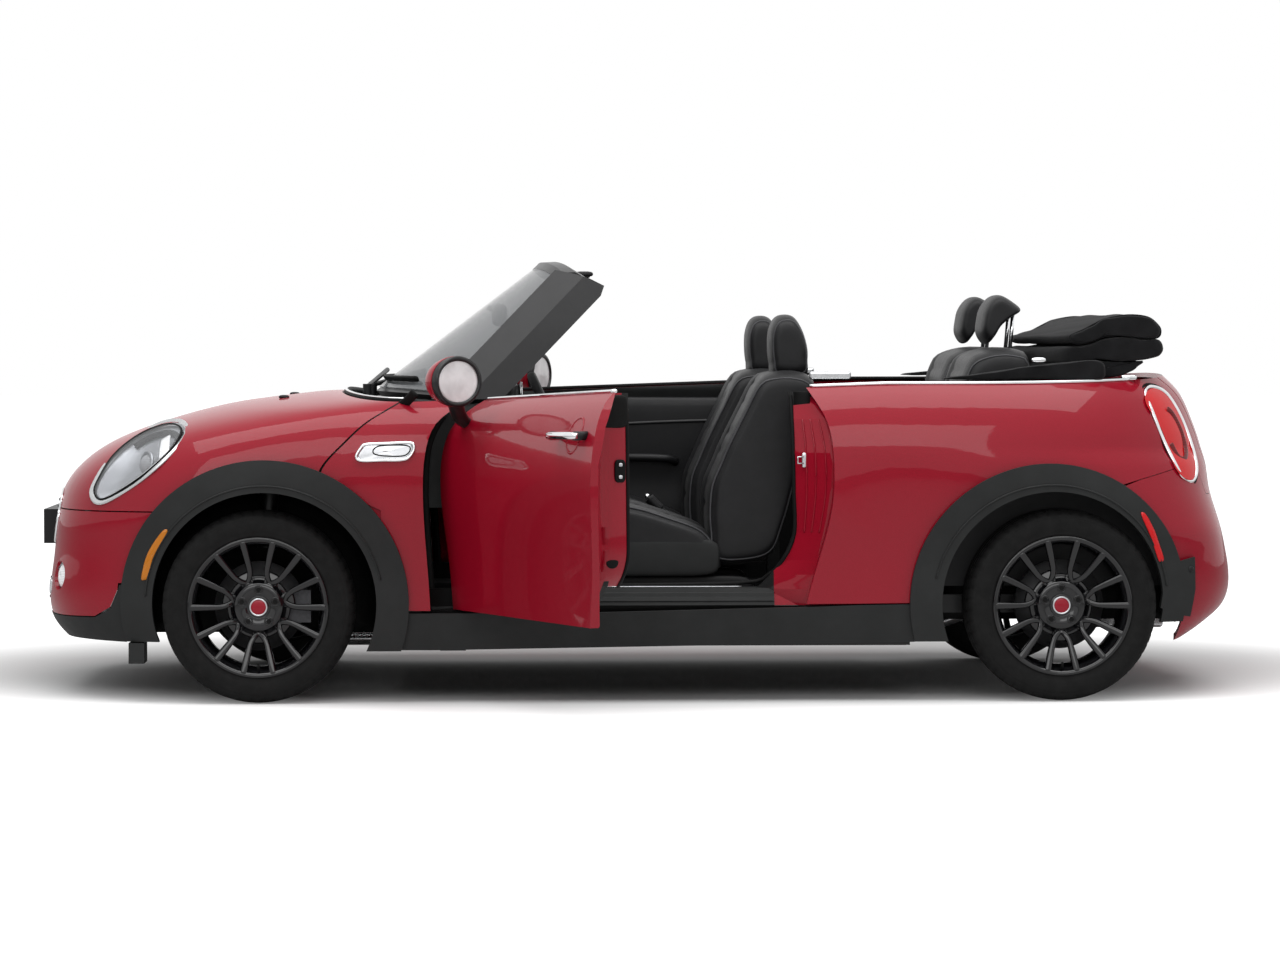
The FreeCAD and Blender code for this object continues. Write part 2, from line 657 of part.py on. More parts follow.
def make_pillar():
    """Left windscreen pillar: a fairing that leans back beside the glass."""
    section = [(0, 0), (110, -38), (222, -30), (215, 15), (120, 30), (10, 35)]
    levels = []
    for z in (930.0, 1350.0):
        x = 532.0 + 0.959 * (z - 940.0)
        y = -645.0 + 0.18 * (z - 940.0)
        levels.append((z, [(x + dx, y + dy) for dx, dy in section]))
    side = side_prism([(500, 940), (790, 940), (800, 980), (1064, 1263), (1075, 1295), (1029, 1318), (977, 1334),
                       (900, 1350), (500, 1350)], -800, -400)
    return plan_loft(levels).common(side)


def make_header():
    """Frame above the glass, from pillar to pillar."""
    wires = []
    for s in (-1.0, -0.8, -0.4, 0.0, 0.4, 0.8, 1.0):
        p = screen_point(s, 0.985)
        section = [(-14, -10), (6, 10), (45, 12), (88, -14), (86, -42), (10, -34)]
        points = [p + V(dx, 0, dz) for dx, dz in section]
        wires.append(Part.makePolygon(points + [points[0]]))
    return Part.makeLoft(wires, True, False)


def make_windscreen():
    """Black frame of the windscreen and its glass."""
    pillar = make_pillar()
    bar = screen_slab(0.97, -0.055, 0.03, -6.0, 30.0)
    frame = union([pillar, mirrored(pillar), make_header(), bar])
    save(frame, "windscreen_frame")
    save(screen_slab(0.975, -0.03, 0.97, 0.0, 5.0).cut(frame), "windscreen_glass")
    return frame


def make_scuttle(screen_frame):
    """Panel between the bonnet and the windscreen, with the two wipers on it."""
    curve = []
    for i in range(9):
        turn = math.radians(-80 + 20 * i)
        curve.append((500 - 255 * abs(math.cos(turn)) ** 0.74,
                      690 * math.copysign(abs(math.sin(turn)) ** 0.74, turn)))
    plan = [(600, -690)] + curve + [(600, 690), (640, 600), (560, 500), (500, 250), (480, 0), (500, -250),
                                    (560, -500), (640, -600)]
    panel = plan_prism(plan, 920, 934).cut(screen_frame)
    wiper = []
    for y, s1 in ((-430.0, 0.25), (120.0, 0.8)):
        tip = screen_point(s1, 0.035) + V(-22, 0, 26)
        wiper += [rod(V(325, y, 925), V(325, y, 985), 14), rod(V(325, y, 975), tip, 8)]
    save(union([panel] + wiper), "scuttle")


def make_cabin():
    """Dashboard with its round dial, and the centre console."""
    dash = side_prism([(500, 895), (700, 905), (800, 905), (838, 870), (800, 700), (720, 600), (500, 600)],
                      -660, 660)
    dash = dash.makeFillet(18, [e for e in dash.Edges if e.BoundBox.YLength > 1000 and e.BoundBox.XMin > 700])
    dial = Part.makeCylinder(105, 60, V(800, 0, 850), X_AXIS)
    column = rod(V(760, -370, 773), V(885, -370, 828), 30)
    dash = union([dash, dial, column])
    save(dash, "dashboard")
    console = box(830, 1560, -105, 105, 332, 420)
    stack = box(745, 870, -110, 110, 332, 640)
    lever = pipe([V(1000, 0, 415), V(985, 0, 530)], 8).fuse(Part.makeSphere(24, V(984, 0, 545)))
    brake = pipe([V(1420, -40, 410), V(1240, -40, 600)], 14)
    arm = soft_box(1440, 1690, -60, 60, 600, 670, 15).fuse(box(1630, 1670, -30, 30, 332, 620))
    save(union([console, stack, lever, brake, arm]).cut(dash), "centre_console")


def make_front_seat(y, shift):
    cushion = side_prism([(1015, 440), (1010, 560), (1060, 610), (1170, 600), (1400, 520), (1450, 460),
                          (1440, 380), (1080, 380)], y - 255, y + 255)
    back = side_prism([(1420, 400), (1408, 560), (1415, 660), (1475, 800), (1575, 1000), (1625, 1032),
                       (1700, 1032), (1748, 1003), (1742, 940), (1708, 781), (1640, 520), (1590, 425)],
                      y - 250, y + 250)
    back = back.makeFillet(28, [e for e in back.Edges if e.BoundBox.YLength < 1])
    cushion = cushion.makeFillet(28, [e for e in cushion.Edges if e.BoundBox.YLength < 1])
    head = side_prism([(1612, 1044), (1606, 1150), (1618, 1190), (1642, 1205), (1684, 1199), (1716, 1150),
                       (1733, 1100), (1735, 1054), (1700, 1040)], y - 135, y + 135)
    head = head.makeFillet(30, [e for e in head.Edges if e.BoundBox.YLength < 1])
    posts = [rod(V(1668, y + dy, 1000), V(1668, y + dy, 1100), 7) for dy in (-60, 60)]
    rails = [box(1060, 1560, y + dy - 15, y + dy + 15, FLOOR_Z + FLOOR_T, 385) for dy in (-200, 200)]
    seat = union([cushion, back, head] + posts + rails)
    seat.translate(V(shift, 0, 0))
    return seat


def make_rear_seat():
    """Rear bench of two seats with comma-shaped headrests."""
    parts = []
    for y in (-300.0, 300.0):
        cushion = soft_box(AXLE - 535, AXLE - 235, y - 280, y + 280, 435, 560, 35)
        back = side_prism([(AXLE - 300, 540), (AXLE - 282, 980), (AXLE - 246, 1074), (AXLE - 180, 1100),
                           (AXLE - 100, 1100), (AXLE - 58, 1060), (AXLE - 58, 460), (AXLE - 265, 460)],
                          y - 280, y + 280)
        back = back.makeFillet(25, [e for e in back.Edges if e.BoundBox.YLength < 1])
        head = side_prism([(AXLE - 205, 1145), (AXLE - 192, 1230), (AXLE - 166, 1263), (AXLE - 138, 1272),
                           (AXLE - 98, 1250), (AXLE - 69, 1220), (AXLE - 104, 1196), (AXLE - 137, 1168),
                           (AXLE - 162, 1128), (AXLE - 184, 1110)], y - 125, y + 125)
        posts = [rod(V(AXLE - 150, y + dy, 1080), V(AXLE - 170, y + dy, 1180), 7) for dy in (-55, 55)]
        parts.append(union([cushion, back, head] + posts))
    base = box(AXLE - 455, AXLE - 58, -485, 485, 346, 435)
    save(Part.makeCompound(parts + [base]), "rear_seat")


def make_seats():
    driver = make_front_seat(-370.0, 0.0)
    passenger = make_front_seat(370.0, -28.0)
    save(Part.makeCompound([driver, passenger]), "front_seats")
    make_rear_seat()
    trim = side_prism([(AXLE - 700, 360), (AXLE - 512, 360), (AXLE - 512, 434), (AXLE - 485, 440), (AXLE - 405, 500),
                       (AXLE - 320, 650), (AXLE - 195, 705), (AXLE - 65, 705), (AXLE - 65, 968),
                       (AXLE - 685, 964)], -688, -655)
    save(both(trim), "quarter_trims")


def make_roof():
    """Folded soft top behind the rear seats and the silver covers of its hinges."""
    stack = side_prism([(AXLE - 52, 1002), (AXLE - 52, 1105), (AXLE - 98, 1122), (AXLE - 97, 1130),
                        (AXLE + 32, 1157), (AXLE + 195, 1201), (AXLE + 254, 1208), (AXLE + 313, 1200),
                        (AXLE + 356, 1157), (AXLE + 347, 1128), (AXLE + 362, 1086), (AXLE + 343, 1069),
                        (AXLE + 277, 1045), (AXLE + 262, 1002)], -600, 600)
    cheek = side_prism([(AXLE - 360, 1001), (AXLE - 180, 1046), (AXLE - 50, 1068), (AXLE + 150, 1090),
                        (AXLE + 150, 1001)], -680, -590)
    save(union([stack, cheek, mirrored(cheek)]), "folded_roof")
    save(both(soft_box(AXLE - 782, AXLE - 652, -728, -702, 1001, 1027, 8)), "roof_mechanism")


def make_running_gear():
    """Engine block, radiator, front and rear axle parts and exhaust."""
    save(soft_box(-330, 210, -330, 330, 290, 770, 30), "engine_block")
    save(soft_box(-540, -500, -330, 330, 250, 580, 8), "radiator")
    frame = box(-230, 230, -330, 330, 190, 250)
    arm = pipe([V(150, -330, 215), V(0, -640, 205)], 16).fuse(pipe([V(-150, -330, 215), V(0, -640, 205)], 16))
    strut = rod(FRONT_STRUT[0], FRONT_STRUT[1], 28)
    front = union([frame, arm, mirrored(arm), rod(V(0, -330, 299), V(0, -560, 299), 12),
                   rod(V(0, 330, 299), V(0, 560, 299), 12)])
    front = front.cut(box(-330, 210, -330, 330, 290, 770))
    save(Part.makeCompound([front, strut, mirrored(strut)]), "front_suspension")
    trailing = union([box(AXLE - 375, AXLE + 25, -632, -600, 265, 322),
                      box(AXLE - 35, AXLE + 35, -636, -520, 260, 322),
                      rod(V(AXLE, -600, HUB_Z), V(AXLE, -690, HUB_Z), 30)])
    beam = box(AXLE - 25, AXLE + 25, -560, 560, 262, 315)
    damper = rod(V(AXLE + 30, -592, 300), V(AXLE + 50, -590, 560), 21)
    rear = union([trailing, mirrored(trailing), beam, damper, mirrored(damper)])
    save(rear, "rear_suspension")
    line = pipe([V(240, 60, 135), V(AXLE - 435, 60, 135), V(AXLE - 95, 200, 234), V(AXLE + 155, 200, 234)], 22)
    silencer = soft_box(AXLE + 125, AXLE + 385, -420, 420, 200, 318, 12)
    tips = [rod(V(AXLE + 365, y, TIP_Z), V(AXLE + 590, y, TIP_Z), TIP_R) for y in (-TIP_Y, TIP_Y)]
    save(union([line, silencer] + tips), "exhaust")


def revolve_profile(points, y, x, z):
    """Turn (radius, offset) points about an axle at x, z; offset runs outwards from y."""
    sign = -1.0 if y < 0 else 1.0
    outline = [V(x, y + sign * w, z + r) for r, w in points]
    return Part.Face(Part.makePolygon(outline + [outline[0]])).revolve(V(x, y, z), Y_AXIS, 360)


def make_wheel(x, y, name):
    """Tyre and alloy wheel with its brake disc."""
    half = TYRE_W / 2.0
    sign = -1.0 if y < 0 else 1.0
    tyre = revolve_profile([(206, -84), (262, -half), (TYRE_R, -76), (TYRE_R, 76), (262, half), (206, 84)],
                           y, x, HUB_Z)
    save(tyre, "tyre_" + name)
    barrel = revolve_profile([(204, -88), (216, -88), (216, -94), (196, -94), (186, -60), (180, 40), (194, 94),
                              (216, 94), (216, 88), (204, 88), (192, 40), (197, -60)], y, x, HUB_Z)
    hub = revolve_profile([(0, -20), (60, -20), (60, 8), (78, 30), (78, 66), (30, 70), (0, 70)], y, x, HUB_Z)
    rotor = revolve_profile([(50, -15), (DISC_R, -15), (DISC_R, 7), (50, 7)], y, x, HUB_Z)
    parts = [barrel, hub, rotor]
    for k in range(14):
        low = HUB_Z - 6
        outline = [V(x + 60, y + sign * 40, low), V(x + 190, y + sign * 56, low),
                   V(x + 198, y + sign * 80, low), V(x + 60, y + sign * 64, low)]
        spoke = Part.Face(Part.makePolygon(outline + [outline[0]])).extrude(V(0, 0, 12))
        spoke.rotate(V(x, y, HUB_Z), Y_AXIS, 360.0 / 14.0 * (k + 0.5) + 90.0)
        parts.append(spoke)
    save(union(parts), "rim_" + name)


def make_knuckle(y, name):
    """Steered upright with its brake caliper."""
    sign = -1.0 if y < 0 else 1.0

    def at(w):
        return y + sign * w

    def slab(x0, x1, w0, w1, z0, z1):
        return box(x0, x1, min(at(w0), at(w1)), max(at(w0), at(w1)), z0, z1)

    upright = slab(-40, 40, -75, -26, HUB_Z - 70, HUB_Z + 110)
    caliper = slab(80, 160, -50, 30, HUB_Z - 50, HUB_Z + 50)
    caliper = caliper.cut(slab(70, 146, -21, 13, HUB_Z - 60, HUB_Z + 60))
    carrier = slab(30, 100, -60, -40, HUB_Z - 40, HUB_Z + 40)
    save(union([upright, caliper, carrier]), "knuckle_" + name)


def make_wheels():
    for x, end in ((0.0, "front"), (WHEELBASE, "rear")):
        for sign, side in ((-1.0, "left"), (1.0, "right")):
            make_wheel(x, sign * WHEEL_Y, end + "_" + side)
    make_knuckle(-WHEEL_Y, "left")
    make_knuckle(WHEEL_Y, "right")


def make_steering_wheel():
    rim = Part.makeTorus(180, 15, V(0, 0, 0), X_AXIS)
    hub = box(-30, 12, -70, 70, -60, 60)
    spokes = box(-12, 6, -180, 180, -16, 16)
    whole = union([rim, hub, spokes])
    whole.rotate(V(0, 0, 0), Y_AXIS, -24)
    whole.translate(V(922, -370, 845))
    save(whole, "steering_wheel")


def make_lamps():
    """Headlamps and tail lamps, a little proud of the paint."""
    lamp = thick_patch("front", 6.0, 60.0).common(lamp_prism(HEADLAMP, LIGHT_GAP, 332.0))
    save(lamp, "headlamps")
    tail = thick_patch("rear", 6.0, 36.0).common(lamp_prism(TAIL_LAMP, LIGHT_GAP, TAIL_LAMP_INNER_Y + 2))
    save(tail, "tail_lamps")


def make_grilles():
    """Upper and lower grille, fog lamps and number plate bracket."""
    shell = thick_patch("front", -2.0, 22.0)
    upper = shell.common(grille_prism(-LIGHT_GAP))
    lower = shell.common(lower_grille_prism(-LIGHT_GAP))
    fog = thick_patch("front", -12.0, 40.0).common(fog_prism(FOG_R - LIGHT_GAP))
    plate = box(-722, -676, -260, 260, 470, 580).cut(thick_patch("front", 0.0, 60.0))
    save(Part.makeCompound([upper, lower] + fog.Solids + plate.Solids), "grille")


def main():
    front = thick_patch("front", 0.0, PANEL_T)
    rear = thick_patch("rear", 0.0, PANEL_T)
    bonnet, bumper, fender = make_front_panels(front)
    save(bonnet, "bonnet")
    save(bumper, "front_bumper")
    save(both(fender), "front_side_panels")
    quarter, bumper, boot = make_rear_panels(rear)
    save(both(quarter), "quarter_panels")
    save(bumper, "rear_bumper")
    save(boot, "boot_lid")
    make_doors()
    make_trims()
    make_frame()
    make_floor()
    make_liners()
    make_scuttle(make_windscreen())
    make_cabin()
    make_seats()
    make_roof()
    make_running_gear()
    make_wheels()
    make_steering_wheel()
    make_lamps()
    make_grilles()


if __name__ == "__main__":
    main()
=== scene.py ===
"""Looks of a small open two-door car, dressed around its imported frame.

The frame gives every body and node of the car. This script gives each node its finish, replaces the plain
wheels, lamps and seats by detailed pieces, adds the small trim, and sets up the floor, light and camera.
"""

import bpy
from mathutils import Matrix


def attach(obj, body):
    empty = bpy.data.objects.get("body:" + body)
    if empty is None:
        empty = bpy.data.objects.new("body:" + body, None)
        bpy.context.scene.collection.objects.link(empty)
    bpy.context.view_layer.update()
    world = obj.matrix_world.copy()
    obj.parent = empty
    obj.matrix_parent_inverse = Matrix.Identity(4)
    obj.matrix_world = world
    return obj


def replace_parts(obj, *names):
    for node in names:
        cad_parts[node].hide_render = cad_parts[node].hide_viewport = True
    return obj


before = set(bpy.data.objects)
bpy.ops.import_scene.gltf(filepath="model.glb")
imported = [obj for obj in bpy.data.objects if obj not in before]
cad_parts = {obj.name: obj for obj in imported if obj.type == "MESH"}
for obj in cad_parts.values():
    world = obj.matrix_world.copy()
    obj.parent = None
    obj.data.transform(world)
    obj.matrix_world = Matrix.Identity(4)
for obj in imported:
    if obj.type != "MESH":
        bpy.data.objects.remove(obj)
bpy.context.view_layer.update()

import logging
import math
from dataclasses import dataclass, field
from enum import Enum
from typing import Optional, Sequence

import bmesh
import bpy
import numpy as np
from mathutils import Vector
from mathutils.bvhtree import BVHTree

LOG = logging.getLogger("open_car")
MM = 0.001
AXLE = 2.495
HUB_Z = 0.299
BELT_HALF_W = 0.745
OUTSIDE_Y = -1.3
OUTSIDE_X = -1.3
WALL = 0.002
X_AXIS, Y_AXIS, Z_AXIS = (1.0, 0.0, 0.0), (0.0, 1.0, 0.0), (0.0, 0.0, 1.0)
DOWN = (0.0, 0.0, -1.0)
Socket = bpy.types.NodeSocket
Array = np.ndarray


class Side(Enum):
    """Side of the car, with the sign of its Y coordinates."""

    LEFT = -1.0
    RIGHT = 1.0

    @property
    def word(self) -> str:
        """Word used in node and body names."""
        return self.name.lower()


class Graph:
    """Small helper that adds nodes to one material and links them."""

    def __init__(self, name: str) -> None:
        """Make a material with an empty node tree and a principled shader.

        Args:
            name: Name of the material.
        """
        self.material = bpy.data.materials.new(name)
        self.material.use_nodes = True
        self.tree = self.material.node_tree
        self.tree.nodes.clear()
        self.out = self.add("ShaderNodeOutputMaterial")
        self.shader = self.add("ShaderNodeBsdfPrincipled")
        self.link(self.shader.outputs[0], self.out.inputs["Surface"])
        self.coordinates = self.add("ShaderNodeTexCoord").outputs["Object"]

    def add(self, kind: str, **settings: object) -> bpy.types.Node:
        """Add one node and set its properties.

        Args:
            kind: Blender's name for the node type.
            settings: Properties of the node.

        Returns:
            The new node.
        """
        node = self.tree.nodes.new(kind)
        for key, value in settings.items():
            setattr(node, key, value)
        return node

    def link(self, source: Socket, target: Socket) -> None:
        """Join an output to an input."""
        self.tree.links.new(source, target)

    def set(self, **values: object) -> None:
        """Set sockets of the principled shader; underscores stand for spaces."""
        for key, value in values.items():
            self.shader.inputs[key.replace("_", " ")].default_value = value

    def feed(self, **sources: Socket) -> None:
        """Link outputs to sockets of the principled shader; underscores stand for spaces."""
        for key, source in sources.items():
            self.link(source, self.shader.inputs[key.replace("_", " ")])

    def mottle(self, colour: Sequence[float], factor: float, source: Socket) -> None:
        """Base colour between the colour times a factor and the colour itself."""
        self.feed(Base_Color=self.ramp(source, tuple(factor * part for part in colour), colour))

    def wear(self, source: Socket, roughness: float, less: float, more: float) -> None:
        """Roughness that drifts between two distances from its mean."""
        self.feed(Roughness=self.spread(source, roughness - less, roughness + more))

    def noise(self, scale: float, detail: float = 3.0, stretch: Optional[Sequence[float]] = None) -> Socket:
        """Noise on object coordinates.

        Args:
            scale: Number of features per metre.
            detail: Octaves of the noise.
            stretch: Factors along X, Y and Z, for brushed or grained surfaces.

        Returns:
            The factor output of the noise.
        """
        node = self.add("ShaderNodeTexNoise")
        node.inputs["Scale"].default_value = scale
        node.inputs["Detail"].default_value = detail
        source = self.coordinates
        if stretch is not None:
            mapping = self.add("ShaderNodeMapping")
            mapping.inputs["Scale"].default_value = stretch
            self.link(source, mapping.inputs["Vector"])
            source = mapping.outputs["Vector"]
        self.link(source, node.inputs["Vector"])
        return node.outputs["Fac"]

    def cells(self, scale: float) -> Socket:
        """Distance to the nearest cell centre, for leather and moulded grain."""
        node = self.add("ShaderNodeTexVoronoi", feature="F1")
        node.inputs["Scale"].default_value = scale
        self.link(self.coordinates, node.inputs["Vector"])
        return node.outputs["Distance"]

    def weave(self, scale: float) -> Socket:
        """Height of a plain weave: the larger of two crossed sets of waves."""
        waves = []
        for direction in ("X", "Z"):
            node = self.add("ShaderNodeTexWave", wave_type="BANDS", bands_direction=direction)
            node.inputs["Scale"].default_value = scale
            self.link(self.coordinates, node.inputs["Vector"])
            waves.append(node.outputs["Fac"])
        joined = self.add("ShaderNodeMath", operation="MAXIMUM")
        self.link(waves[0], joined.inputs[0])
        self.link(waves[1], joined.inputs[1])
        return joined.outputs[0]

    def ramp(self, source: Socket, low: Sequence[float], high: Sequence[float],
             span: tuple[float, float] = (0.3, 0.7)) -> Socket:
        """Colour between two tones along a factor."""
        node = self.add("ShaderNodeValToRGB")
        node.color_ramp.elements[0].position = span[0]
        node.color_ramp.elements[1].position = span[1]
        node.color_ramp.elements[0].color = (*low, 1.0)
        node.color_ramp.elements[1].color = (*high, 1.0)
        self.link(source, node.inputs["Fac"])
        return node.outputs["Color"]

    def spread(self, source: Socket, low: float, high: float) -> Socket:
        """Map a factor of 0 to 1 onto a range."""
        node = self.add("ShaderNodeMapRange")
        node.inputs["To Min"].default_value = low
        node.inputs["To Max"].default_value = high
        self.link(source, node.inputs["Value"])
        return node.outputs["Result"]

    def bump(self, height: Socket, distance: float, strength: float = 1.0,
             under: Optional[Socket] = None) -> Socket:
        """Bump from a height, stacked on another normal where one is given."""
        node = self.add("ShaderNodeBump")
        node.inputs["Distance"].default_value = distance
        node.inputs["Strength"].default_value = strength
        self.link(height, node.inputs["Height"])
        if under is not None:
            self.link(under, node.inputs["Normal"])
        return node.outputs["Normal"]


@dataclass(frozen=True)
class Paint:
    """Clear-coated body paint with a faint flake and orange peel."""

    name: str
    colour: tuple[float, float, float]
    depth: tuple[float, float, float]
    roughness: float = 0.42
    coat: float = 0.5

    def graph(self) -> Graph:
        """Node graph of the paint."""
        graph = Graph(self.name)
        graph.feed(Base_Color=graph.ramp(graph.noise(900.0, 1.0), self.depth, self.colour, (0.25, 0.6)),
                   Coat_Normal=graph.bump(graph.noise(160.0, 1.0), 0.00004, 0.35))
        graph.set(Roughness=self.roughness, Coat_Weight=self.coat, Coat_Roughness=0.03, Coat_IOR=1.5,
                  Specular_IOR_Level=0.1)
        return graph

    def build(self) -> bpy.types.Material:
        """Make the paint's material."""
        return self.graph().material


@dataclass(frozen=True)
class PostPaint(Paint):
    """Body paint on the inner body's outer faces; the rest of it is black underneath its covers.

    The paint shows beyond outer_y sideways, further than door_half along from the middle of the door
    opening, and above low_z.
    """

    outer_y: float = 0.74
    door_x: float = 1.03
    door_half: float = 0.57
    low_z: float = 0.30
    covered: tuple[float, float, float, float] = (0.008, 0.008, 0.008, 1.0)

    def build(self) -> bpy.types.Material:
        """Make the paint, masked by place."""
        graph = self.graph()
        parts = graph.add("ShaderNodeSeparateXYZ")
        graph.link(graph.coordinates, parts.inputs[0])

        def compute(source: Socket, operation: str, value: float = 0.0) -> Socket:
            node = graph.add("ShaderNodeMath", operation=operation)
            graph.link(source, node.inputs[0])
            node.inputs[1].default_value = value
            return node.outputs[0]

        sideways = compute(parts.outputs["Y"], "ABSOLUTE")
        away = compute(compute(parts.outputs["X"], "SUBTRACT", self.door_x), "ABSOLUTE")
        mask = compute(sideways, "GREATER_THAN", self.outer_y)
        for source, limit in ((away, self.door_half), (parts.outputs["Z"], self.low_z)):
            both = graph.add("ShaderNodeMath", operation="MULTIPLY")
            graph.link(mask, both.inputs[0])
            graph.link(compute(source, "GREATER_THAN", limit), both.inputs[1])
            mask = both.outputs[0]
        mix = graph.add("ShaderNodeMix", data_type="RGBA")
        mix.inputs[6].default_value = self.covered
        graph.link(mask, mix.inputs[0])
        graph.link(graph.shader.inputs["Base Color"].links[0].from_socket, mix.inputs[7])
        graph.feed(Base_Color=mix.outputs[2])
        return graph.material


@dataclass(frozen=True)
class Plastic:
    """Moulded plastic with a fine grain and slight colour drift."""

    name: str
    colour: tuple[float, float, float]
    roughness: float = 0.5
    grain: float = 700.0
    height: float = 0.00012

    def build(self) -> bpy.types.Material:
        """Make the plastic's material."""
        graph = Graph(self.name)
        graph.mottle(self.colour, 0.72, graph.noise(9.0, 4.0))
        graph.wear(graph.noise(35.0, 3.0), self.roughness, 0.07, 0.07)
        graph.set(Specular_IOR_Level=0.25)
        graph.feed(Normal=graph.bump(graph.cells(self.grain), self.height, 0.6))
        return graph.material


@dataclass(frozen=True)
class Gloss:
    """Hard glossy surface such as a lacquered wheel or mirror housing."""

    name: str
    colour: tuple[float, float, float]
    roughness: float = 0.16
    coat: float = 0.6

    def build(self) -> bpy.types.Material:
        """Make the glossy material."""
        graph = Graph(self.name)
        graph.mottle(self.colour, 0.7, graph.noise(14.0, 3.0))
        graph.wear(graph.noise(60.0, 3.0), self.roughness, 0.05, 0.05)
        graph.set(Coat_Weight=self.coat, Coat_Roughness=0.06, Specular_IOR_Level=0.3)
        graph.feed(Normal=graph.bump(graph.noise(220.0, 1.0), 0.00003, 0.4))
        return graph.material


@dataclass(frozen=True)
class Metal:
    """Bare or plated metal; stretch gives the direction of its brushing."""

    name: str
    colour: tuple[float, float, float]
    roughness: float = 0.25
    stretch: tuple[float, float, float] = (1.0, 1.0, 1.0)
    scale: float = 120.0
    height: float = 0.00003

    def build(self) -> bpy.types.Material:
        """Make the metal's material."""
        graph = Graph(self.name)
        graph.mottle(self.colour, 0.86, graph.noise(20.0, 4.0))
        marks = graph.noise(self.scale, 4.0, self.stretch)
        graph.feed(Roughness=graph.spread(marks, self.roughness * 0.7, self.roughness * 1.3),
                   Normal=graph.bump(marks, self.height, 0.5))
        graph.set(Metallic=1.0)
        return graph.material


@dataclass(frozen=True)
class Cloth:
    """Woven fabric: a plain weave, a soft sheen and slow colour drift."""

    name: str
    colour: tuple[float, float, float]
    threads: float = 260.0
    roughness: float = 0.9
    sheen: float = 0.25

    def build(self) -> bpy.types.Material:
        """Make the fabric's material."""
        graph = Graph(self.name)
        graph.mottle(self.colour, 0.66, graph.noise(24.0, 6.0))
        graph.set(Roughness=self.roughness, Sheen_Weight=self.sheen, Sheen_Roughness=0.5,
                  Specular_IOR_Level=0.1)
        weave = graph.bump(graph.weave(self.threads), 0.0003, 0.7)
        graph.feed(Normal=graph.bump(graph.noise(45.0, 3.0), 0.0015, 0.35, weave))
        return graph.material


@dataclass(frozen=True)
class Leather:
    """Leather: pebbled grain with fine creases over it."""

    name: str
    colour: tuple[float, float, float]
    roughness: float = 0.46

    def build(self) -> bpy.types.Material:
        """Make the leather's material."""
        graph = Graph(self.name)
        graph.mottle(self.colour, 0.7, graph.noise(18.0, 5.0))
        graph.wear(graph.noise(40.0, 4.0), self.roughness, 0.08, 0.1)
        graph.set(Specular_IOR_Level=0.25, Sheen_Weight=0.03)
        pebbles = graph.bump(graph.cells(520.0), 0.00035, 0.55)
        graph.feed(Normal=graph.bump(graph.noise(70.0, 4.0), 0.0009, 0.3, pebbles))
        return graph.material


@dataclass(frozen=True)
class Rubber:
    """Tyre rubber, with lighter dusty patches at random."""

    name: str
    colour: tuple[float, float, float]
    roughness: float = 0.62

    def build(self) -> bpy.types.Material:
        """Make the rubber's material."""
        graph = Graph(self.name)
        dusty = tuple(1.6 * part for part in self.colour)
        graph.wear(graph.noise(80.0, 4.0), self.roughness, 0.1, 0.1)
        graph.set(Specular_IOR_Level=0.12)
        graph.feed(Base_Color=graph.ramp(graph.noise(30.0, 5.0), self.colour, dusty),
                   Normal=graph.bump(graph.noise(500.0, 3.0), 0.0002, 0.4))
        return graph.material


@dataclass(frozen=True)
class Clear:
    """Clear glass or plastic, with an optional tint."""

    name: str
    tint: tuple[float, float, float] = (1.0, 1.0, 1.0)
    roughness: float = 0.0
    shade: float = 0.12
    mirror: float = 0.5

    def build(self) -> bpy.types.Material:
        """Make a thin see-through material: mostly transparent, with a mirror-like surface."""
        graph = Graph(self.name)
        graph.wear(graph.noise(6.0, 4.0), self.roughness, 0.0, 0.03)
        graph.set(Base_Color=(*self.tint, 1.0), Alpha=self.shade, Specular_IOR_Level=self.mirror, IOR=1.5)
        graph.material.surface_render_method = "BLENDED"
        return graph.material


@dataclass(frozen=True)
class Lens:
    """Coloured lamp plastic with ribs inside."""

    name: str
    colour: tuple[float, float, float]
    glow: float = 0.0
    ribs: float = 90.0

    def build(self) -> bpy.types.Material:
        """Make the lamp plastic's material."""
        graph = Graph(self.name)
        wave = graph.add("ShaderNodeTexWave", wave_type="BANDS", bands_direction="Z")
        wave.inputs["Scale"].default_value = self.ribs
        wave.inputs["Distortion"].default_value = 0.4
        graph.link(graph.coordinates, wave.inputs["Vector"])
        graph.mottle(self.colour, 0.72, wave.outputs["Fac"])
        graph.set(Roughness=0.3, Coat_Weight=0.5, Coat_Roughness=0.02, Specular_IOR_Level=0.1)
        if self.glow > 0.0:
            graph.set(Emission_Color=(*self.colour, 1.0), Emission_Strength=self.glow)
        return graph.material


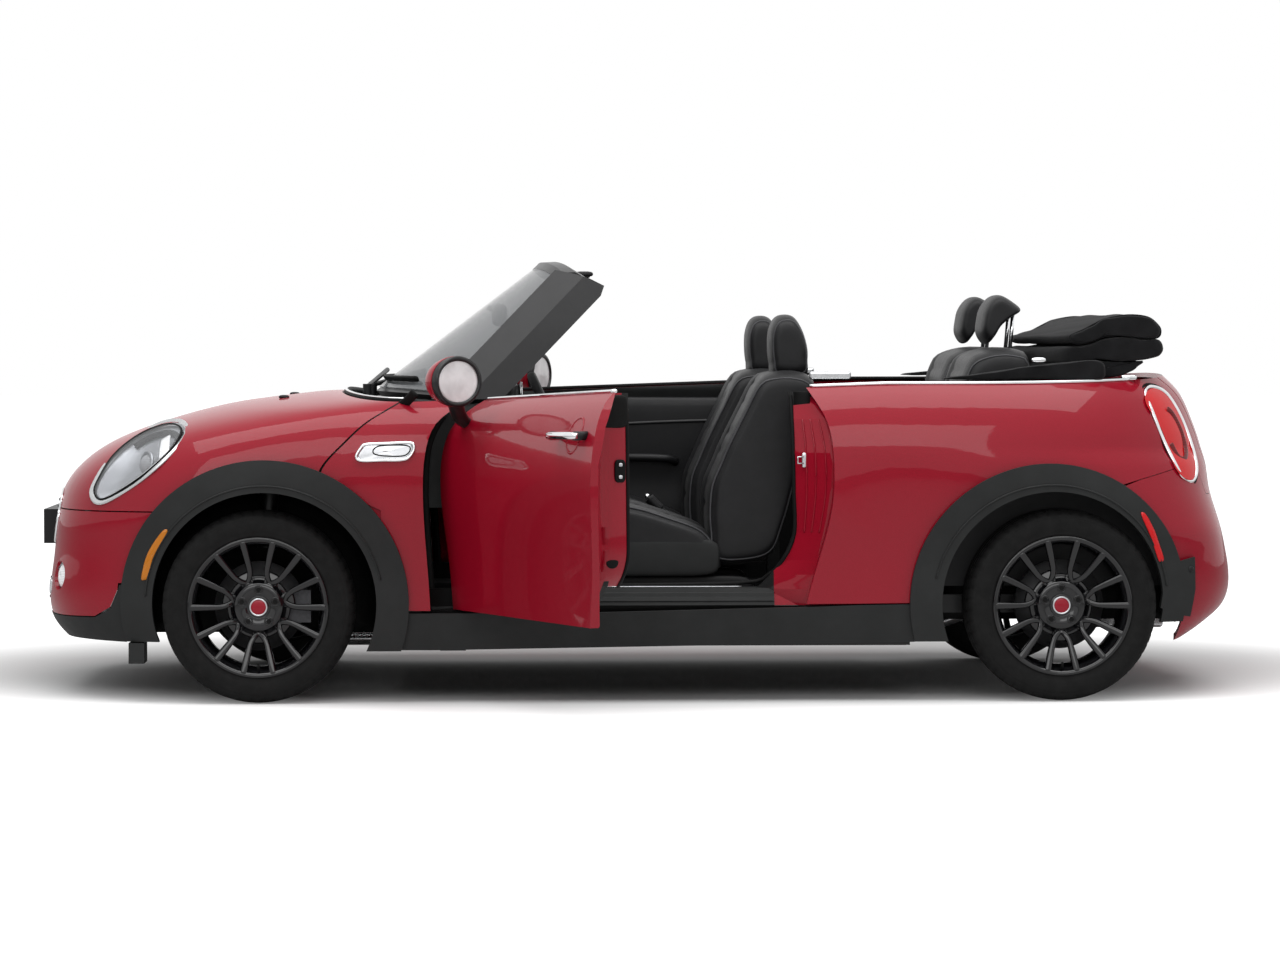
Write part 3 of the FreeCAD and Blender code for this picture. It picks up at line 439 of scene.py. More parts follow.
class Finish(Enum):
    """Every finish used on the car."""

    RED = Paint("deep_red_paint", (0.33, 0.003, 0.018), (0.22, 0.001, 0.009))
    POST_RED = PostPaint("deep_red_post_paint", (0.33, 0.003, 0.018), (0.22, 0.001, 0.009))
    BLACK_PAINT = Gloss("black_satin_paint", (0.012, 0.012, 0.013), 0.38, 0.1)
    GRAINED = Plastic("grained_black_plastic", (0.019, 0.020, 0.020), 0.6)
    BLACK = Plastic("plain_black_plastic", (0.008, 0.008, 0.009), 0.42, 900.0, 0.00006)
    CARPET = Cloth("black_carpet", (0.006, 0.006, 0.007), 180.0, 1.0, 0.05)
    SOFT_TOP = Cloth("black_roof_cloth", (0.013, 0.013, 0.014), 240.0, 0.92, 0.1)
    LEATHER = Leather("seat_leather", (0.010, 0.010, 0.011))
    PIPING = Leather("grey_piping", (0.07, 0.07, 0.075))
    CHROME = Metal("bright_chrome", (0.86, 0.87, 0.88), 0.06)
    BRIGHT = Metal("satin_chrome", (0.62, 0.63, 0.64), 0.28)
    SILVER = Metal("satin_silver", (0.62, 0.63, 0.65), 0.3)
    ALLOY = Gloss("gloss_black_wheel", (0.004, 0.004, 0.005), 0.15, 0.5)
    IRON = Metal("machined_iron", (0.16, 0.16, 0.165), 0.45)
    CAST = Metal("engine_casting", (0.09, 0.09, 0.095), 0.6, height=0.0003)
    STEEL = Metal("dull_steel", (0.3, 0.3, 0.31), 0.5)
    EXHAUST = Metal("polished_steel_pipe", (0.55, 0.55, 0.56), 0.25)
    TYRE = Rubber("tyre_compound", (0.007, 0.007, 0.007), 0.7)
    SEAL = Rubber("black_seal", (0.004, 0.004, 0.004), 0.6)
    GLASS = Clear("window_glass", (0.20, 0.21, 0.22), 0.0, 0.50)
    LAMP_GLASS = Clear("lamp_glass", (0.95, 0.97, 1.0), 0.0, 0.08)
    # Mirror glass: a near-white diffuse colour stands in for its reflection of the white room, a painted
    # reflection.
    MIRROR = Gloss("mirror_glass", (0.92, 0.93, 0.94), 0.10, 0.5)
    RED_LENS = Lens("red_lamp_lens", (0.66, 0.002, 0.005), 0.08, 150.0)
    DARK_LENS = Lens("dark_lamp_band", (0.16, 0.004, 0.006), 0.0, 40.0)
    AMBER = Lens("amber_marker_lens", (0.62, 0.20, 0.01), 0.04, 160.0)
    WHITE_LENS = Lens("white_lamp_block", (0.85, 0.86, 0.88), 0.25, 60.0)
    PROJECTOR = Lens("grey_projector_lens", (0.34, 0.35, 0.37), 0.0, 60.0)
    LAMP_GREY = Metal("lamp_reflector", (0.27, 0.28, 0.30), 0.36)

    def material(self) -> bpy.types.Material:
        """Blender material of this finish, made once."""
        return bpy.data.materials.get(self.value.name) or self.value.build()


NODE_FINISH: dict[str, Finish] = {
    "body_frame": Finish.POST_RED, "bonnet": Finish.RED, "boot_lid": Finish.RED, "front_bumper": Finish.RED,
    "rear_bumper": Finish.RED, "front_side_panels": Finish.RED, "quarter_panels": Finish.RED,
    "door_left": Finish.RED, "door_right": Finish.RED, "lower_trims": Finish.GRAINED,
    "grille": Finish.BLACK, "floor_pan": Finish.CARPET, "tail_lamps": Finish.RED_LENS,
    "headlamps": Finish.LAMP_GREY, "windscreen_frame": Finish.BLACK_PAINT, "windscreen_glass": Finish.GLASS,
    "scuttle": Finish.BLACK, "dashboard": Finish.GRAINED, "centre_console": Finish.GRAINED,
    "front_seats": Finish.LEATHER, "rear_seat": Finish.LEATHER, "quarter_trims": Finish.GRAINED,
    "folded_roof": Finish.SOFT_TOP, "roof_mechanism": Finish.BRIGHT, "engine_block": Finish.CAST,
    "radiator": Finish.STEEL, "front_suspension": Finish.BLACK_PAINT, "rear_suspension": Finish.BLACK_PAINT,
    "exhaust": Finish.EXHAUST, "arch_liners": Finish.BLACK, "door_trim_left": Finish.GRAINED,
    "door_trim_right": Finish.GRAINED, "mirror_left": Finish.BLACK, "mirror_right": Finish.BLACK,
    "knuckle_left": Finish.CAST, "knuckle_right": Finish.CAST, "steering_wheel": Finish.LEATHER,
}


def grid_faces(rows: int, columns: int, wrap_rows: bool, wrap_columns: bool) -> Array:
    """Quads that join a grid of points, row by row.

    Args:
        rows: Points along the first parameter.
        columns: Points along the second parameter.
        wrap_rows: Whether the last row joins the first.
        wrap_columns: Whether the last column joins the first.

    Returns:
        Array of vertex numbers with four columns.
    """
    i = np.arange(rows if wrap_rows else rows - 1)
    j = np.arange(columns if wrap_columns else columns - 1)
    ii, jj = np.meshgrid(i, j, indexing="ij")
    up = (ii + 1) % rows
    over = (jj + 1) % columns
    quads = [ii * columns + jj, up * columns + jj, up * columns + over, ii * columns + over]
    return np.stack(quads, axis=-1).reshape(-1, 4)


def make_piece(name: str, points: Array, faces: Sequence[Sequence[int]], finish: Finish, body: str,
               smooth: bool = True) -> bpy.types.Object:
    """Turn arrays into an object that rides on a body.

    Args:
        name: Name of the object.
        points: Vertex places in metres, one row each.
        faces: Vertex numbers of each face.
        finish: Finish of the piece.
        body: Body of the car that carries it.
        smooth: Whether the faces are shaded smooth.

    Returns:
        The new object.
    """
    mesh = bpy.data.meshes.new(name)
    mesh.from_pydata(np.asarray(points, float).reshape(-1, 3).tolist(), [],
                     faces.tolist() if isinstance(faces, np.ndarray) else list(faces))
    mesh.polygons.foreach_set("use_smooth", [smooth] * len(mesh.polygons))
    mesh.materials.append(finish.material())
    mesh.update()
    piece = bpy.data.objects.new(name, mesh)
    bpy.context.scene.collection.objects.link(piece)
    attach(piece, body)
    return piece


def round_turn(count: int) -> Array:
    """Angles of count points evenly spaced round a full turn."""
    return np.linspace(0.0, 2.0 * math.pi, count, endpoint=False)


def points_of(x: Array, y: Array, z: Array) -> Array:
    """Points from coordinates that are arrays or single numbers, broadcast together."""
    return np.stack(np.broadcast_arrays(x, y, z), axis=-1)


def unit(vectors: Array) -> Array:
    """Vectors scaled to length 1."""
    return vectors / np.maximum(np.linalg.norm(vectors, axis=-1, keepdims=True), 1e-12)


def frames_along(path: Array, up: Sequence[float], closed: bool) -> tuple[Array, Array]:
    """Two unit vectors across a path at each of its points.

    The tangent is the central difference of the path. The first vector is up crossed with it, and the
    second completes the frame.

    Args:
        path: Points of the path.
        up: Direction that isn't along the path anywhere.
        closed: Whether the last point joins the first.

    Returns:
        Sideways vectors and upward vectors.
    """
    if closed:
        tangent = np.roll(path, -1, axis=0) - np.roll(path, 1, axis=0)
    else:
        tangent = np.gradient(path, axis=0)
    tangent = unit(tangent)
    sideways = unit(np.cross(np.asarray(up, float), tangent))
    return sideways, np.cross(tangent, sideways)


def round_profile(width: float, height: float, sides: int = 12, power: float = 2.0) -> Array:
    """Superellipse outline; power 2 is an ellipse and more is boxier."""
    turn = round_turn(sides)
    across = np.sign(np.cos(turn)) * np.abs(np.cos(turn)) ** (2.0 / power)
    along = np.sign(np.sin(turn)) * np.abs(np.sin(turn)) ** (2.0 / power)
    return np.stack([across * width / 2.0, along * height / 2.0], axis=1)


def smooth_path(points: Sequence[Sequence[float]], count: int, closed: bool = False) -> Array:
    """Points evenly spaced on a Catmull-Rom curve through the given ones.

    Args:
        points: Places that the curve goes through.
        count: Number of points returned.
        closed: Whether the curve is a loop.

    Returns:
        Array of count points.
    """
    base = np.asarray(points, float)
    number = len(base)
    spans = number if closed else number - 1
    fine = np.linspace(0.0, spans, max(count * 6, 60), endpoint=not closed)
    cell = np.minimum(fine.astype(int), spans - 1)
    part = (fine - cell)[:, None]
    pick = (lambda k: base[k % number]) if closed else (lambda k: base[np.clip(k, 0, number - 1)])
    a, b, c, d = pick(cell - 1), pick(cell), pick(cell + 1), pick(cell + 2)
    curve = 0.5 * (2 * b + (c - a) * part + (2 * a - 5 * b + 4 * c - d) * part ** 2
                   + (3 * b - 3 * c + d - a) * part ** 3)
    loop = np.vstack([curve, curve[:1]]) if closed else curve
    length = np.concatenate([[0.0], np.cumsum(np.linalg.norm(np.diff(loop, axis=0), axis=1))])
    want = np.linspace(0.0, length[-1], count, endpoint=not closed)
    return np.stack([np.interp(want, length, loop[:, k]) for k in range(base.shape[1])], axis=1)


def facing_out(piece: bpy.types.Object) -> bpy.types.Object:
    """Merge doubled points and turn every face outwards."""
    work = bmesh.new()
    work.from_mesh(piece.data)
    bmesh.ops.remove_doubles(work, verts=work.verts, dist=1e-6)
    bmesh.ops.recalc_face_normals(work, faces=work.faces)
    work.to_mesh(piece.data)
    work.free()
    return piece


class Skin:
    """Finds points on the outside of the car's panels by casting rays at their meshes."""

    def __init__(self, *nodes: str) -> None:
        """Join the meshes of some nodes into one search tree.

        Args:
            nodes: Names of the CAD nodes.
        """
        points: list[Array] = []
        faces: list[Array] = []
        start = 0
        for node in nodes:
            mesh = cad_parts[node].data
            place = np.empty(len(mesh.vertices) * 3)
            mesh.vertices.foreach_get("co", place)
            mesh.calc_loop_triangles()
            corner = np.empty(len(mesh.loop_triangles) * 3, dtype=np.int32)
            mesh.loop_triangles.foreach_get("vertices", corner)
            points.append(place.reshape(-1, 3))
            faces.append(corner.reshape(-1, 3) + start)
            start += len(mesh.vertices)
        self.tree = BVHTree.FromPolygons(np.vstack(points).tolist(), np.vstack(faces).tolist())

    def hit(self, start: Sequence[float], aim: Sequence[float]) -> tuple[Vector, Vector]:
        """Nearest point and normal met from a start along a direction."""
        place, normal, _, _ = self.tree.ray_cast(Vector(start), Vector(aim).normalized())
        if place is None:
            place, normal, _, _ = self.tree.find_nearest(Vector(start))
        if normal.dot(Vector(aim)) > 0.0:
            normal = -normal
        return place, normal

    def loop(self, starts: Array, lift: float, limit: float = -0.3) -> tuple[Array, Array]:
        """Points and normals met along +Y from the points of a closed loop on the left side.

        A ray that slips through a gap, past the limit, takes its depth and normal from its neighbours.

        Args:
            starts: Starting points outside the car, in order round the loop.
            lift: Distance off the surface along its normal.
            limit: Largest Y that counts as the left side.

        Returns:
            The lifted points and the normals.
        """
        found = [self.hit(start, Y_AXIS) for start in starts]
        place = np.array([list(point) for point, _ in found])
        normal = np.array([list(direction) for _, direction in found])
        good = (place[:, 1] < limit) & (np.abs(place[:, 0] - starts[:, 0]) < 0.001)
        if good.any() and not good.all():
            order = np.arange(len(starts), dtype=float)
            place[:, 0], place[:, 2] = starts[:, 0], starts[:, 2]
            place[:, 1] = np.interp(order, order[good], place[good, 1], period=len(starts))
            for axis in range(3):
                normal[:, axis] = np.interp(order, order[good], normal[good, axis], period=len(starts))
        normal = unit(normal)
        return place + normal * lift, normal

    def along(self, starts: Array, aim: Sequence[float], lift: float = 0.0) -> Array:
        """Points met from several starts, lifted off the surface.

        Args:
            starts: Starting points outside the car.
            aim: Common direction of the rays.
            lift: Distance off the surface along its normal.

        Returns:
            Array of points.
        """
        found = [self.hit(start, aim) for start in starts]
        return np.array([list(place + normal * lift) for place, normal in found])


def swept(path: Array, profile: Array, up: Sequence[float], closed: bool = False,
          scale: Optional[Array] = None) -> tuple[Array, list[list[int]]]:
    """Points and faces of a closed profile carried along a path.

    Args:
        path: Points of the path in metres.
        profile: Closed outline in metres.
        up: Direction that the profile's second axis leans to.
        closed: Whether the path is a loop.
        scale: Optional factor on the profile at each path point.

    Returns:
        Points and faces.
    """
    path = np.asarray(path, float)
    sideways, upward = frames_along(path, up, closed)
    size = np.ones(len(path)) if scale is None else np.asarray(scale, float)
    offsets = profile[None, :, :1] * sideways[:, None, :] + profile[None, :, 1:] * upward[:, None, :]
    points = path[:, None, :] + offsets * size[:, None, None]
    faces = grid_faces(len(path), len(profile), closed, True).tolist()
    if not closed:
        count = len(profile)
        faces.append(list(range(count)))
        faces.append(list(range(len(path) * count - 1, (len(path) - 1) * count - 1, -1)))
    return points.reshape(-1, 3), faces


def stacked(parts: Sequence[tuple[Array, Sequence[Sequence[int]]]]) -> tuple[Array, list[list[int]]]:
    """Points and faces of several parts as one mesh."""
    points: list[Array] = []
    faces: list[list[int]] = []
    start = 0
    for place, cells in parts:
        flat = np.asarray(place, float).reshape(-1, 3)
        points.append(flat)
        faces += [[start + int(k) for k in cell] for cell in cells]
        start += len(flat)
    return np.vstack(points), faces


def skinned(name: str, grid: Array, finish: Finish, body: str, wrap: tuple[bool, bool] = (False, False),
            wall: float = 0.0, smooth: bool = True) -> bpy.types.Object:
    """Surface through a grid of points, given a wall where one is asked for.

    Args:
        name: Name of the object.
        grid: Points, rows by columns by 3.
        finish: Finish of the piece.
        body: Body that carries it.
        wrap: Whether rows and columns close on themselves.
        wall: Thickness of the wall, or 0 for a closed shape.
        smooth: Whether the faces are shaded smooth.

    Returns:
        The new object.
    """
    rows, columns = grid.shape[:2]
    faces = grid_faces(rows, columns, wrap[0], wrap[1])
    piece = facing_out(make_piece(name, grid, faces, finish, body, smooth))
    if wall:
        modifier = piece.modifiers.new("wall", "SOLIDIFY")
        modifier.thickness = wall
        modifier.offset = 0.0
    return piece


def block(centre: Sequence[float], size: Sequence[float], power: float = 5.0, rows: int = 12,
          columns: int = 24) -> tuple[Array, list[list[int]]]:
    """Soft-edged block as a superellipsoid.

    Each coordinate is the half size times a sine or cosine raised to 2 over the power, with its sign kept.

    Args:
        centre: Middle of the block.
        size: Full sizes along X, Y and Z.
        power: 2 is an ellipsoid, more is boxier.
        rows: Points from pole to pole.
        columns: Points around.

    Returns:
        Points and faces.
    """
    def soft(value: Array) -> Array:
        return np.sign(value) * np.abs(value) ** (2.0 / power)

    tilt = np.linspace(-math.pi / 2.0, math.pi / 2.0, rows)[:, None]
    turn = round_turn(columns)[None, :]
    x = soft(np.cos(tilt)) * soft(np.cos(turn))
    y = soft(np.cos(tilt)) * soft(np.sin(turn))
    z = soft(np.sin(tilt))
    half = np.asarray(size, float) / 2.0
    points = points_of(x, y, z) * half + np.asarray(centre, float)
    return points.reshape(-1, 3), grid_faces(rows, columns, False, True).tolist()


def put(name: str, parts: Sequence[tuple[Array, Sequence[Sequence[int]]]], finish: Finish, body: str,
        smooth: bool = True) -> bpy.types.Object:
    """One object of several parts, its faces turned outwards."""
    points, faces = stacked(parts)
    return facing_out(make_piece(name, points, faces, finish, body, smooth))


def rod(name: str, path: Array, size: Sequence[float], up: Sequence[float], finish: Finish,
        body: str = "chassis", closed: bool = False) -> bpy.types.Object:
    """One rod swept along a path.

    Args:
        name: Name of the object.
        path: Points of its middle line.
        size: Width, height, sides and power of its section, as round_profile takes them.
        up: Direction that the section's height leans to.
        finish: Finish of the rod.
        body: Body that carries it.
        closed: Whether the path is a loop.

    Returns:
        The new object.
    """
    return put(name, [swept(path, round_profile(*size), up, closed)], finish, body)


def on_side(points: Array, side: Side) -> Array:
    """Points of the left side, mirrored for the right."""
    return np.asarray(points, float) * np.array([1.0, -side.value, 1.0])


def side_rod(name: str, side: Side, path: Array, size: Sequence[float], up: Sequence[float], finish: Finish,
             closed: bool = False) -> bpy.types.Object:
    """Rod on the chassis, given for the left side and mirrored for the right."""
    return rod(f"{name}_{side.word}", on_side(path, side), size, up, finish, closed=closed)


def past_axle(outline: Sequence[tuple[float, float]]) -> list[tuple[float, float]]:
    """Side outline in metres, from millimetres behind the rear axle and above the ground."""
    return [(AXLE + x * MM, z * MM) for x, z in outline]


def headrest_posts(name: str, y: float, gap: float, foot: tuple[float, float], head: tuple[float, float],
                   width: float) -> None:
    """Two bright posts of a headrest, at y plus and minus the gap, from (x, z) foot to head."""
    posts = [swept(np.array([(foot[0], y + dy, foot[1]), (head[0], y + dy, head[1])]),
                   round_profile(width, width, 14), X_AXIS) for dy in (-gap, gap)]
    put(name, posts, Finish.CHROME, "chassis")


@dataclass
class Wheel:
    """One tyre and one alloy wheel: seven hairpin loops round a hub plate, in a rim with two flanges."""

    end: str
    side: Side
    hub_x: float
    hub_y: float = 0.737
    hub_z: float = HUB_Z
    pairs: int = 7
    leg_deg: float = 12.86
    bolts: int = 5
    segments: int = 312
    tread_blocks: float = 52.0
    shoulder_cut: float = 0.0045
    middle_cut: float = 0.004

    @property
    def tag(self) -> str:
        """Ending of this wheel's names."""
        return f"{self.end}_{self.side.word}"

    @property
    def body(self) -> str:
        """Body of this wheel."""
        return f"wheel_{self.tag}"

    def at(self, radius: Array, turn: Array, out: Array) -> Array:
        """Points from radius, angle and outward offset, in metres and radians."""
        return points_of(self.hub_x + radius * np.cos(turn), self.side.value * (self.hub_y + out),
                         self.hub_z + radius * np.sin(turn))

    def build(self) -> None:
        """Make the tyre, the wheel and the parts on them."""
        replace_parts(self.tyre(), f"tyre_{self.tag}")
        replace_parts(self.rim(), f"rim_{self.tag}")
        self.loops()
        self.disc()
        self.cap()
        self.bolt_heads()
        LOG.info("wheel %s", self.tag)

    def tyre(self) -> bpy.types.Object:
        """Tyre: a closed section turned round the axle, with grooves cut in where they run."""
        half = [(212, -84), (214, -89), (222, -92), (226, -93.5), (229, -93.2), (232, -94.5), (245, -96.8),
                (256, -97.3), (266, -96.2), (271, -95.4), (273, -94.0), (275, -94.6), (283, -90),
                (289, -84), (293, -77.5), (295.6, -70), (296.6, -62), (297.1, -54.5), (291.2, -53.5),
                (291.2, -46.5), (297.8, -45.5), (298.4, -34), (298.7, -22.5), (292.2, -21.5),
                (292.2, -13.5), (299, -12.5)]
        mirrored = [(radius, -width) for radius, width in reversed(half)]
        section = np.array(half + [(299, 0)] + mirrored + [(206, 60), (206, -60)]) * MM
        turn = round_turn(self.segments)[:, None]
        radius, width = section[None, :, 0], section[None, :, 1]
        phase = (turn * self.tread_blocks / (2.0 * math.pi) + np.abs(width) * 9.0) % 1.0
        shoulder = (np.abs(width) > 0.0560) & (radius > 0.286) & (phase < 0.17)
        middle = (np.abs(width) > 0.0230) & (np.abs(width) < 0.0450) & (radius > 0.2965) & (phase > 0.80)
        radius = radius - self.shoulder_cut * shoulder - self.middle_cut * middle
        grid = self.at(radius, turn, width)
        return skinned(f"tyre_{self.tag}_tread", grid, Finish.TYRE, self.body, (True, True))

    def rim(self) -> bpy.types.Object:
        """Rim barrel with its flanges, turned round the axle."""
        section = np.array([(197, -92), (208, -95), (217, -94), (217, -88), (207, -84), (199, -60), (193, 20),
                            (199, 66), (206, 84), (216, 87), (218, 91), (216.5, 95), (210, 95.5), (203.5, 92),
                            (200, 84), (192, 60), (187, 20), (191, -60)]) * MM
        turn = round_turn(160)[:, None]
        grid = self.at(section[None, :, 0], turn, section[None, :, 1])
        return skinned(f"rim_{self.tag}_barrel", grid, Finish.ALLOY, self.body, (True, True))

    def loops(self) -> None:
        """Hairpin loops of the spokes over the hub plate.

        The plate's edge is a radius that rises from its inner to its outer value within each pair of legs.
        """
        period = 2.0 * math.pi / self.pairs
        reach = np.array([(212, 1.0), (200, 0.99), (170, 1.0), (136, 1.0), (114, 0.96), (97, 0.72),
                          (87, 0.36), (84, 0.0)])
        polar = np.vstack([reach * [1.0, -1.0], reach[::-1][1:]])
        parts = []
        profile = round_profile(0.0205, 0.026, 14, 3.2)
        for k in range(self.pairs):
            middle = 1.5 * math.pi + k * period
            turn = middle + polar[:, 1] * math.radians(self.leg_deg)
            radius = polar[:, 0] * MM
            out = 0.052 + (radius - 0.080) * 0.215 - 0.010 * np.clip((0.100 - radius) / 0.02, 0.0, 1.0)
            path = smooth_path(self.at(radius, turn, out), 46)
            girth = 1.0 + 0.18 * np.cos(np.linspace(0.0, 2.0 * math.pi, 46))
            parts.append(swept(path, profile, (0.0, self.side.value, 0.0), scale=girth))
        put(f"rim_{self.tag}_loops", parts, Finish.ALLOY, self.body)
        turn = round_turn(252)[:, None]
        phase = np.abs((turn - 1.5 * math.pi + period / 2.0) % period - period / 2.0)
        rise = np.clip((math.radians(14.5) - phase) / math.radians(3.5), 0.0, 1.0)
        edge = (0.098 + 0.016 * rise ** 2 * (3.0 - 2.0 * rise)) * (1.0 + 0.0 * turn)
        share = np.array([0.0, 0.28, 0.30, 0.34, 0.36, 0.60, 0.69, 0.72, 0.76, 0.96, 1.0, 1.0, 0.9, 0.5, 0.0])
        out = np.array([64, 64, 61, 61, 64.5, 64.5, 62, 57, 52, 50, 47, 36, 33, 30, 30]) * MM
        radius = np.where(share[None, :] > 0.75, edge * share[None, :], 0.106 * share[None, :])
        grid = self.at(radius, turn, out[None, :])
        skinned(f"rim_{self.tag}_plate", grid, Finish.ALLOY, self.body, (True, False))

    def disc(self) -> None:
        """Ventilated brake disc and its bell, turned round the axle."""
        section = np.array([(62, -15), (139, -15), (139, -7), (130, -6), (130, -2), (139, -1), (139, 7),
                            (84, 7), (80, 26), (62, 26)]) * MM
        turn = round_turn(96)[:, None]
        grid = self.at(section[None, :, 0], turn, section[None, :, 1])
        skinned(f"brake_disc_{self.tag}", grid, Finish.IRON, self.body, (True, True))

    def cap(self) -> None:
        """Domed centre cap and the bright ring round it."""
        turn = round_turn(64)[:, None]
        radius = np.array([0.0, 8, 16, 21, 23.5, 23.5, 0.0]) * MM
        out = np.array([70.5, 70.2, 69.2, 68.2, 67.0, 62.0, 62.0]) * MM
        skinned(f"cap_{self.tag}", self.at(radius[None, :], turn, out[None, :]), Finish.RED, self.body,
                (True, False))
        ring = round_profile(0.0055, 0.005, 12)
        loop = self.at(0.0255, turn[:, 0], 0.0672)
        put(f"cap_ring_{self.tag}", [swept(loop, ring, Y_AXIS, True)], Finish.SILVER, self.body)

    def bolt_heads(self) -> None:
        """Bolts in their recessed seats, and the tyre valve."""
        parts = []
        seats = []
        for k in range(self.bolts):
            turn = math.radians(90.0 + 72.0 * k)
            middle = self.at(0.054, turn, 0.064)
            circle = round_turn(24)
            loop = middle + points_of(0.0125 * np.cos(circle), 0.0, 0.0125 * np.sin(circle))
            seats.append(swept(loop, round_profile(0.005, 0.006, 10), Y_AXIS, True))
            six = round_turn(6)
            head = np.stack([0.0085 * np.cos(six), 0.0085 * np.sin(six)], axis=1)
            ends = np.array([middle - [0.0, self.side.value * 0.006, 0.0],
                             middle + [0.0, self.side.value * 0.0045, 0.0]])
            parts.append(swept(ends, head, Z_AXIS))
        put(f"bolts_{self.tag}", parts, Finish.SEAL, self.body, False)
        put(f"bolt_seats_{self.tag}", seats, Finish.ALLOY, self.body)
        stem = self.at(np.array([0.196, 0.178]), 1.5 * math.pi, np.array([0.078, 0.092]))
        rod(f"valve_{self.tag}", stem, (0.009, 0.009, 14), X_AXIS, Finish.SEAL, self.body)


@dataclass
class WheelHouse:
    """Black housing round the top of one wheel, with its inner wall."""

    end: str
    side: Side
    centre_x: float
    inner: float
    centre_z: float = HUB_Z
    radius: float = 0.371
    outer: float = 0.742
    low_deg: float = -16.0

    def band(self, name: str, low: float, high: float) -> None:
        """Part of the half-round band, between two angles in degrees."""
        turn = np.radians(np.linspace(low, high, max(4, int((high - low) / 3.0))))[:, None]
        across = np.linspace(self.inner, self.outer, 6)[None, :]
        grid = points_of(self.centre_x + self.radius * np.cos(turn), self.side.value * across,
                         self.centre_z + self.radius * np.sin(turn))
        skinned(f"{name}_{self.end}_{self.side.word}", grid, Finish.SEAL, "chassis", wall=WALL)

    def build(self) -> None:
        """Make the band in three parts, and the wall."""
        self.band("wheel_house", -3.0, 183.0)
        self.band("wheel_house_toe", self.low_deg, -3.0)
        self.band("wheel_house_heel", 183.0, 180.0 - self.low_deg)
        turn = np.radians(np.linspace(self.low_deg, 180.0 - self.low_deg, 60))
        edge = points_of(self.centre_x + self.radius * np.cos(turn), self.side.value * self.inner,
                         self.centre_z + self.radius * np.sin(turn))
        flat = edge[-1] + (edge[0] - edge[-1]) * np.linspace(0.0, 1.0, 14)[1:-1, None]
        edge = np.vstack([edge, flat])
        middle = np.array([self.centre_x, self.side.value * self.inner, self.centre_z + 0.08])
        share = np.linspace(0.01, 1.0, 5)[:, None, None]
        skinned(f"wheel_house_wall_{self.end}_{self.side.word}", middle + (edge - middle)[None] * share,
                Finish.SEAL, "chassis", (False, True), WALL)


@dataclass
class OutlinedLamp:
    """Lamp on a body panel, with an outline given in side view, as (x, z) in metres."""

    side: Side
    node: str
    body: str
    outline: Sequence[tuple[float, float]]
    rings: int = 15
    around: int = 84
    panels: tuple[str, ...] = ()
    passes: int = 30

    def grid(self, share_out: float = 0.985, lift: float = 0.0, crown: float = 0.0) -> Array:
        """Rings of points on the lamp's face from its middle to its outline.

        Ring s is the middle plus s times the way to the outline, thrown on the face along Y and lifted
        along the normal by lift plus crown times (1 - s squared). Its depth along Y is then evened out
        with its neighbours in the same ring, in a number of passes.

        Args:
            share_out: Share of the outline's size that the last ring has.
            lift: Distance off the face.
            crown: Added height in the middle.

        Returns:
            Array of rings by points by 3.
        """
        skin = Skin(self.node, *self.panels)
        edge = smooth_path([(x, OUTSIDE_Y, z) for x, z in self.outline], self.around, closed=True)
        middle = edge.mean(axis=0)
        rows = []
        for share in np.linspace(0.0, share_out, self.rings):
            starts = middle + (edge - middle) * max(share, 0.01)
            height = lift + crown * (1.0 - (share / share_out) ** 2)
            rows.append(skin.loop(starts, height)[0])
        grid = np.array(rows)
        for _ in range(self.passes):
            depth = grid[1:, :, 1]
            grid[1:, :, 1] = 0.5 * depth + 0.25 * (np.roll(depth, 1, axis=1) + np.roll(depth, -1, axis=1))
        return on_side(grid, self.side)


